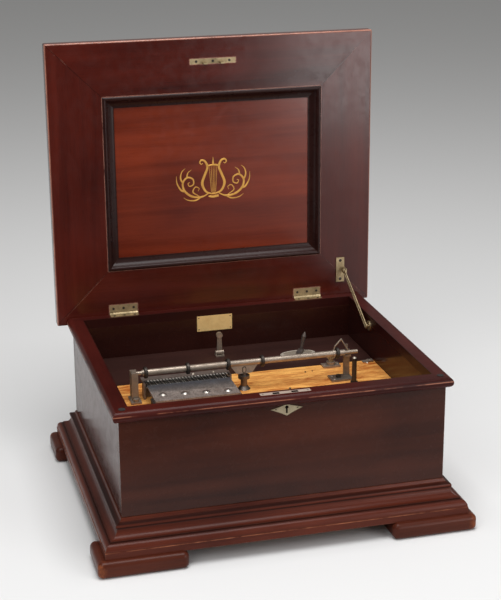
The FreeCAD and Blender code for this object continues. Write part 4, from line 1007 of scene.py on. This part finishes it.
@dataclass
class OpenLid:
    """The open lid's own frame: across, up the panel from the hinge, and out of its inner face."""

    axis_y: float = 0.204
    axis_z: float = 0.233
    lean: float = 0.5
    face_gap: float = 0.001

    def place(self, depth: float) -> Matrix:
        """The turn and shift that lay a flat drawing on the lid.

        Args:
            depth: How deep the drawing's plane lies behind the lid's inner face.

        Returns:
            The matrix from drawing to box: across, up and out become x, the lid's rise and towards the front.
        """
        lean = math.radians(self.lean)
        up = Vector((0.0, math.sin(lean), math.cos(lean)))
        out = Vector((0.0, -math.cos(lean), math.sin(lean)))
        start = Vector((0.0, self.axis_y, self.axis_z)) - out * (self.face_gap + depth)
        turn = Matrix((Vector((1.0, 0.0, 0.0)), up, out)).transposed().to_4x4()
        return Matrix.Translation(start) @ turn


@dataclass
class GiltLyre:
    """A symmetrical gilt lyre between leafy scrolls, laid flat on the lid panel.

    Its drawing is in millimetres. A stroke has its points, its greatest width and its width at the end.
    Strokes are drawn on both sides, bars once.
    """

    lid: OpenLid
    rise: float = 0.2135
    panel_depth: float = 0.009
    thick: float = 0.00025
    steps: int = 10
    strokes: list[tuple[list[Point], float, float]] = field(default_factory=lambda: [
        ([(2.5, -27.0), (13.0, -22.0), (18.5, -9.0), (14.0, 5.0), (9.5, 17.0), (13.0, 27.0), (19.0, 29.5),
          (22.0, 26.0), (19.5, 22.8), (17.0, 24.4)], 4.6, 1.0),
        ([(8.0, -25.5), (20.0, -31.0), (36.0, -29.0), (48.0, -19.0), (50.5, -6.0), (43.0, 2.5), (34.0, -0.5),
          (33.0, -9.0), (39.5, -12.0), (42.0, -7.5), (39.0, -5.6)], 3.8, 0.9),
        ([(24.0, -29.5), (34.0, -22.0), (30.0, -14.0), (24.0, -16.5), (25.5, -21.0)], 2.2, 0.7),
        ([(47.0, -21.0), (54.0, -17.0), (60.0, -6.0), (61.0, 6.0)], 3.4, 0.4),
        ([(50.0, -8.0), (54.0, 2.0), (52.0, 12.0), (46.0, 18.0)], 3.0, 0.4),
        ([(44.0, 2.0), (42.0, 10.0), (36.0, 15.0)], 2.4, 0.4),
        ([(20.0, -31.0), (30.0, -36.0), (42.0, -35.0), (50.0, -30.0)], 2.6, 0.4),
    ])
    bars: list[tuple[list[Point], float, float]] = field(default_factory=lambda: [
        ([(-11.5, 19.0), (0.0, 21.0), (11.5, 19.0)], 2.6, 2.6),
        ([(-8.5, -30.5), (0.0, -31.8), (8.5, -30.5)], 3.4, 3.4),
        ([(-4.5, -27.0), (0.0, -26.4), (4.5, -27.0)], 3.0, 3.0),
        ([(0.0, 21.0), (0.0, 27.0), (0.0, 34.0)], 3.2, 0.5),
        ([(-6.0, 18.8), (-5.2, 0.0), (-3.4, -24.0)], 0.8, 0.8),
        ([(-3.0, 19.2), (-2.6, 0.0), (-1.7, -24.0)], 0.8, 0.8),
        ([(0.0, 19.4), (0.0, 0.0), (0.0, -24.0)], 0.8, 0.8),
        ([(3.0, 19.2), (2.6, 0.0), (1.7, -24.0)], 0.8, 0.8),
        ([(6.0, 18.8), (5.2, 0.0), (3.4, -24.0)], 0.8, 0.8),
    ])

    def smooth(self, points: Sequence[Point]) -> list[Vector]:
        """A smooth line through the points of a stroke.

        Args:
            points: The stroke's points.

        Returns:
            Points close together along the line.
        """
        ends = [Vector(p) for p in points]
        ends = [2 * ends[0] - ends[1]] + ends + [2 * ends[-1] - ends[-2]]
        line = []
        for a, b, c, d in zip(ends, ends[1:], ends[2:], ends[3:]):
            for step in range(self.steps):
                t = step / self.steps
                line.append(0.5 * (2 * b + (c - a) * t + (2 * a - 5 * b + 4 * c - d) * t * t
                                   + (3 * b - a - 3 * c + d) * t ** 3))
        return line + [ends[-2]]

    def ribbon(self, mesh: bmesh.types.BMesh, points: Sequence[Point], wide: float, narrow: float,
               side: int) -> None:
        """Adds one brush stroke, a closed ribbon that thins towards its end.

        Args:
            mesh: The mesh that takes it.
            points: The stroke's points.
            wide: Its greatest width.
            narrow: Its width at the end.
            side: 1 as drawn, or -1 for its mirror image.
        """
        line = [Vector((side * p.x, p.y)) for p in self.smooth(points)]
        rows = []
        for i, here in enumerate(line):
            ahead = (line[min(i + 1, len(line) - 1)] - line[max(i - 1, 0)]).normalized()
            share = i / (len(line) - 1)
            swell = min(1.0, 0.45 + 2.6 * share)
            half = 0.5 * (wide * swell + (narrow - wide) * share ** 1.6)
            across = Vector((-ahead.y, ahead.x)) * max(half, 0.2)
            rows.append([(here + across, 0.0), (here + across * 0.8, 1.0), (here - across * 0.8, 1.0),
                         (here - across, 0.0)])
        made = [[mesh.verts.new((p.x * MILLIMETRE, p.y * MILLIMETRE + self.rise, lift * self.thick))
                 for p, lift in row] for row in rows]
        for first, second in zip(made, made[1:]):
            for k in range(4):
                mesh.faces.new((first[k], first[(k + 1) % 4], second[(k + 1) % 4], second[k]))
        mesh.faces.new(made[0])
        mesh.faces.new(made[-1])

    def build(self, shop: Workshop) -> None:
        """Draws the lyre and lays it on the panel.

        Args:
            shop: The maker of pieces.
        """
        mesh = bmesh.new()
        for points, wide, narrow in self.strokes:
            for side in (-1, 1):
                self.ribbon(mesh, points, wide, narrow, side)
        for points, wide, narrow in self.bars:
            self.ribbon(mesh, points, wide, narrow, 1)
        bmesh.ops.recalc_face_normals(mesh, faces=mesh.faces)
        mesh.transform(self.lid.place(self.panel_depth))
        data = bpy.data.meshes.new("gilt_lyre")
        mesh.to_mesh(data)
        mesh.free()
        shop.piece("gilt_lyre", data, "gilt", "lid")


@dataclass
class SmallScrews:
    """The slotted screws of the bed, the shelf and the lock, set out with geometry nodes.

    Each row is a screw's place and its size as a share of the full head.
    """

    radius: float = 0.0024
    height: float = 0.0009
    slot_w: float = 0.0007
    sides: int = 20
    on_case: list[tuple[float, float, float, float]] = field(default_factory=lambda: [
        (0.1345, -0.0110, 0.168, 1.0), (0.1345, 0.0030, 0.168, 1.0), (0.1385, 0.0530, 0.168, 0.8),
        (0.1595, 0.0530, 0.168, 0.8), (-0.0100, 0.1445, 0.167, 0.5), (0.0866, 0.1170, 0.1685, 0.42),
        (0.1404, 0.1170, 0.1685, 0.42), (-0.0330, -0.1965, 0.233, 0.6), (0.0330, -0.1965, 0.233, 0.6),
        (0.2160, 0.0565, 0.1677, 0.8),
    ])
    on_bed: list[tuple[float, float, float, float]] = field(default_factory=lambda: [
        (0.1022, 0.0388, 0.165, 0.75), (0.1141, 0.0400, 0.165, 0.6), (0.0593, -0.0209, 0.165, 0.9),
    ])

    def head(self) -> bpy.types.Object:
        """One domed head with its slot, made as a spun half outline on either side of the slot.

        Returns:
            A template object, taken away after use.
        """
        mesh = bmesh.new()
        for side in (-1, 1):
            edge = self.slot_w / 2
            reach = math.sqrt(self.radius ** 2 - edge ** 2)
            rim = [(reach, edge)]
            start, end = math.asin(edge / self.radius), math.pi - math.asin(edge / self.radius)
            for i in range(1, self.sides):
                angle = start + (end - start) * i / self.sides
                rim.append((self.radius * math.cos(angle), self.radius * math.sin(angle)))
            rim.append((-reach, edge))
            levels = ((1.0, 0.0), (1.0, 0.35), (0.9, 0.7), (0.62, 1.0))
            rows = [[mesh.verts.new((x * share * side, (edge + (y - edge) * share) * side,
                                     self.height * lift)) for x, y in rim] for share, lift in levels]
            for low, high in zip(rows, rows[1:]):
                for i in range(len(rim)):
                    j = (i + 1) % len(rim)
                    mesh.faces.new((low[i], low[j], high[j], high[i]))
            mesh.faces.new(rows[-1])
            mesh.faces.new(rows[0])
        floor = bmesh.ops.create_cube(mesh, size=1.0)["verts"]
        long = 2 * self.radius * 0.9
        bmesh.ops.scale(mesh, vec=(long, self.slot_w * 1.2, self.height * 0.3), verts=floor)
        bmesh.ops.translate(mesh, vec=(0.0, 0.0, self.height * 0.15), verts=floor)
        bmesh.ops.recalc_face_normals(mesh, faces=mesh.faces)
        data = bpy.data.meshes.new("screw_template")
        mesh.to_mesh(data)
        mesh.free()
        thing = bpy.data.objects.new("screw_template", data)
        bpy.context.scene.collection.objects.link(thing)
        return thing

    @staticmethod
    def tree(template: bpy.types.Object, material: bpy.types.Material) -> bpy.types.NodeTree:
        """The node tree that sets a head on every point, facing its own way and turned at random.

        Args:
            template: The head.
            material: Its finish.

        Returns:
            The tree, with inputs for the head's size and the seed.
        """
        tree = bpy.data.node_groups.new("Screw setter", "GeometryNodeTree")
        tree.interface.new_socket(name="Points", in_out="INPUT", socket_type="NodeSocketGeometry")
        size = tree.interface.new_socket(name="Head size", in_out="INPUT", socket_type="NodeSocketFloat")
        size.default_value = 1.0
        seed = tree.interface.new_socket(name="Seed", in_out="INPUT", socket_type="NodeSocketInt")
        seed.default_value = 3
        tree.interface.new_socket(name="Screws", in_out="OUTPUT", socket_type="NodeSocketGeometry")
        bench = NodeBench(tree)
        inward, outward = bench.add("NodeGroupInput"), bench.add("NodeGroupOutput")
        head = bench.add("GeometryNodeObjectInfo", transform_space="ORIGINAL")
        head.inputs["Object"].default_value = template
        facing = bench.add("GeometryNodeInputNamedAttribute", data_type="FLOAT_VECTOR")
        facing.inputs["Name"].default_value = "facing"
        share = bench.add("GeometryNodeInputNamedAttribute", data_type="FLOAT")
        share.inputs["Name"].default_value = "share"
        turn = bench.add("FunctionNodeRandomValue", data_type="FLOAT")
        turn.inputs[2].default_value = 0.0
        turn.inputs[3].default_value = math.pi
        bench.feed(turn.inputs["Seed"], inward.outputs["Seed"])
        spin = bench.add("FunctionNodeAxisAngleToRotation")
        spin.inputs["Axis"].default_value = (0.0, 0.0, 1.0)
        bench.feed(spin.inputs["Angle"], turn.outputs[1])
        align = bench.add("FunctionNodeAlignRotationToVector", axis="Z")
        bench.feed(align.inputs["Vector"], facing.outputs[0])
        both = bench.add("FunctionNodeRotateRotation", rotation_space="LOCAL")
        bench.feed(both.inputs[0], align.outputs[0])
        bench.feed(both.inputs[1], spin.outputs[0])
        setter = bench.add("GeometryNodeInstanceOnPoints")
        bench.feed(setter.inputs["Points"], inward.outputs["Points"])
        bench.feed(setter.inputs["Instance"], head.outputs["Geometry"])
        bench.feed(setter.inputs["Rotation"], both.outputs[0])
        scale = bench.maths("MULTIPLY", share.outputs[0], inward.outputs["Head size"])
        bench.feed(setter.inputs["Scale"], scale)
        real = bench.add("GeometryNodeRealizeInstances")
        bench.feed(real.inputs[0], setter.outputs[0])
        dress = bench.add("GeometryNodeSetMaterial")
        dress.inputs["Material"].default_value = material
        bench.feed(dress.inputs["Geometry"], real.outputs[0])
        bench.feed(outward.inputs["Screws"], dress.outputs[0])
        return tree

    @staticmethod
    def set_out(name: str, places: Iterable[tuple[Vector, Vector, float]],
                tree: bpy.types.NodeTree) -> bpy.types.Mesh:
        """Runs the tree on a set of places and keeps the result as a plain mesh.

        Args:
            name: The mesh's name.
            places: Point, facing and size of each screw.
            tree: The screw setter.

        Returns:
            The mesh of all the heads.
        """
        rows = list(places)
        data = bpy.data.meshes.new(name + "_points")
        data.from_pydata([row[0] for row in rows], [], [])
        data.attributes.new("facing", "FLOAT_VECTOR", "POINT")
        data.attributes.new("share", "FLOAT", "POINT")
        for i, row in enumerate(rows):
            data.attributes["facing"].data[i].vector = row[1]
            data.attributes["share"].data[i].value = row[2]
        holder = bpy.data.objects.new(name + "_points", data)
        bpy.context.scene.collection.objects.link(holder)
        modifier = holder.modifiers.new("Screws", "NODES")
        modifier.node_group = tree
        graph = bpy.context.evaluated_depsgraph_get()
        mesh = bpy.data.meshes.new_from_object(holder.evaluated_get(graph))
        mesh.name = name
        holder.modifiers.remove(modifier)
        bpy.data.objects.remove(holder)
        return mesh

    def build(self, shop: Workshop) -> None:
        """Sets the bright screws of the plates and the dark ones of the bed.

        Args:
            shop: The maker of pieces.
        """
        template = self.head()
        up = Vector((0.0, 0.0, 1.0))
        for name, rows, key, slot in (("plate_screws", self.on_case, "nickel", "nickel"),
                                      ("bed_screws", self.on_bed, "black", "dark_steel")):
            places = [(Vector((x, y, z)), up, size) for x, y, z, size in rows]
            mesh = self.set_out(name, places, self.tree(template, shop.finish(key)))
            shop.piece(name, mesh, key, "case")
        bpy.data.objects.remove(template)


@dataclass
class BedClip:
    """The small bent nickel clip that holds the back right corner of the bed."""

    x: float = 0.2125
    y: float = 0.0565
    base: float = 0.165
    long: float = 0.018
    wide: float = 0.009
    thick: float = 0.0015
    step: float = 0.0012
    edge_round: float = 0.0003

    def build(self, shop: Workshop) -> None:
        """Bends the clip from a strip and rounds its edges.

        Args:
            shop: The maker of pieces.
        """
        mesh = bmesh.new()
        profile = [(-0.5, 0.0), (-0.12, 0.0), (0.02, self.step), (0.42, self.step), (0.5, self.step * 0.6)]
        rings = []
        for share, lift in profile:
            x, z = self.x + share * self.long, self.base + lift
            rings.append([mesh.verts.new((x, self.y + side * self.wide / 2, z + up * self.thick))
                          for side, up in ((-1, 0), (1, 0), (1, 1), (-1, 1))])
        for a, b in zip(rings, rings[1:]):
            for k in range(4):
                mesh.faces.new((a[k], a[(k + 1) % 4], b[(k + 1) % 4], b[k]))
        mesh.faces.new(rings[0])
        mesh.faces.new(rings[-1])
        bmesh.ops.recalc_face_normals(mesh, faces=mesh.faces)
        bmesh.ops.bevel(mesh, geom=mesh.edges[:], offset=self.edge_round, segments=2,
                        affect="EDGES")
        data = bpy.data.meshes.new("bed_clip")
        mesh.to_mesh(data)
        mesh.free()
        shop.piece("bed_clip", data, "nickel", "case")


@dataclass
class Studio:
    """The floor, the soft lamps and the camera."""

    focal_px: float = 1511.585
    picture_h: float = 600.0
    yaw: float = 15.0353
    pitch: float = 18.3803
    roll: float = -0.3654
    eye: Triple = (-0.559855, -2.094854, 1.027378)
    floor_half: float = 30.0
    floor_pale: Colour = (0.8, 0.8, 0.8, 1.0)
    floor_dim: Colour = (0.03, 0.025, 0.022, 1.0)
    sky: Colour = (0.95, 0.94, 0.92, 1.0)
    sky_strength: float = 0.25

    def camera(self) -> None:
        """Sets the camera at the photograph's place and angle."""
        yaw, pitch, roll = (math.radians(a) for a in (self.yaw, self.pitch, self.roll))
        ahead = Vector((math.sin(yaw) * math.cos(pitch), math.cos(yaw) * math.cos(pitch), -math.sin(pitch)))
        right = Vector((math.cos(yaw), -math.sin(yaw), 0.0))
        up = right.cross(ahead)
        level = right * math.cos(roll) + up * math.sin(roll)
        rise = up * math.cos(roll) - right * math.sin(roll)
        data = bpy.data.cameras.new("camera")
        data.sensor_width = 36.0
        data.lens = self.focal_px / self.picture_h * data.sensor_width
        data.clip_end = 100.0
        thing = bpy.data.objects.new("camera", data)
        turn = Matrix((level, rise, -ahead)).transposed().to_4x4()
        thing.matrix_world = Matrix.Translation(Vector(self.eye)) @ turn
        bpy.context.scene.collection.objects.link(thing)
        bpy.context.scene.camera = thing

    @staticmethod
    def lamp(name: str, place: Triple, aim: Triple, size: float, power: float,
             sheen_only: bool = False) -> None:
        """Hangs one square soft box.

        Args:
            name: The lamp's name.
            place: Where it hangs.
            aim: What it points at.
            size: Its side length.
            power: Its power in watts.
            sheen_only: Whether it shows in polish alone and lights nothing.
        """
        data = bpy.data.lights.new(name, "AREA")
        data.size = size
        data.energy = power
        thing = bpy.data.objects.new(name, data)
        thing.location = place
        thing.visible_diffuse = not sheen_only
        thing.rotation_euler = (Vector(aim) - Vector(place)).to_track_quat("-Z", "Y").to_euler()
        bpy.context.scene.collection.objects.link(thing)

    def floor(self) -> None:
        """Lays a plain pale floor, which fades to a dark room in reflections, away from the right side."""
        mesh = bmesh.new()
        bmesh.ops.create_grid(mesh, x_segments=1, y_segments=1, size=self.floor_half)
        data = bpy.data.meshes.new("floor")
        mesh.to_mesh(data)
        mesh.free()
        thing = bpy.data.objects.new("floor", data)
        bpy.context.scene.collection.objects.link(thing)
        material = bpy.data.materials.new("pale floor")
        material.use_nodes = True
        shader = material.node_tree.nodes["Principled BSDF"]
        bench = NodeBench(material.node_tree)
        apart = bench.apart(bench.here())
        across = bench.maths("ADD", apart["X"], bench.maths("MULTIPLY", apart["Y"], 0.3))
        lit = bench.maths("MAXIMUM", bench.span(across, -0.35, 0.4), bench.span(apart["Y"], -0.68, -0.38))
        mirrored = bench.add("ShaderNodeLightPath").outputs["Is Glossy Ray"]
        dim = bench.maths("MULTIPLY", mirrored, bench.maths("SUBTRACT", 1.0, lit))
        bench.feed(shader.inputs["Base Color"], bench.blend(dim, self.floor_pale, self.floor_dim))
        shader.inputs["Roughness"].default_value = 0.7
        shader.inputs["Specular IOR Level"].default_value = 0.0
        data.materials.append(material)

    def build(self) -> None:
        """Sets up the whole studio."""
        self.camera()
        self.floor()
        self.lamp("key", (-1.8, -2.2, 2.4), (0.0, 0.0, 0.25), 1.8, 28.0)
        self.lamp("fill", (2.0, -2.6, 1.5), (0.0, 0.0, 0.3), 1.8, 29.0)
        self.lamp("window", (1.25, -2.35, 0.36), (0.1, 0.2, 0.6), 0.7, 8.0, True)
        self.lamp("top", (0.0, -0.5, 2.8), (0.0, 0.0, 0.2), 1.8, 63.0)
        world = bpy.data.worlds.new("studio")
        world.use_nodes = True
        sky = world.node_tree.nodes["Background"]
        sky.inputs["Color"].default_value = self.sky
        sky.inputs["Strength"].default_value = self.sky_strength
        bpy.context.scene.world = world
        bpy.context.scene.view_settings.view_transform = "Standard"


def main() -> None:
    """Builds the studio, dresses the nodes and adds the small pieces."""
    logging.basicConfig(level=logging.INFO, format="%(message)s")
    Studio().build()
    shop = Workshop()
    dress_nodes(shop)
    lid = OpenLid()
    GiltLyre(lid).build(shop)
    SmallScrews().build(shop)
    BedClip().build(shop)


if __name__ == "__main__":
    main()
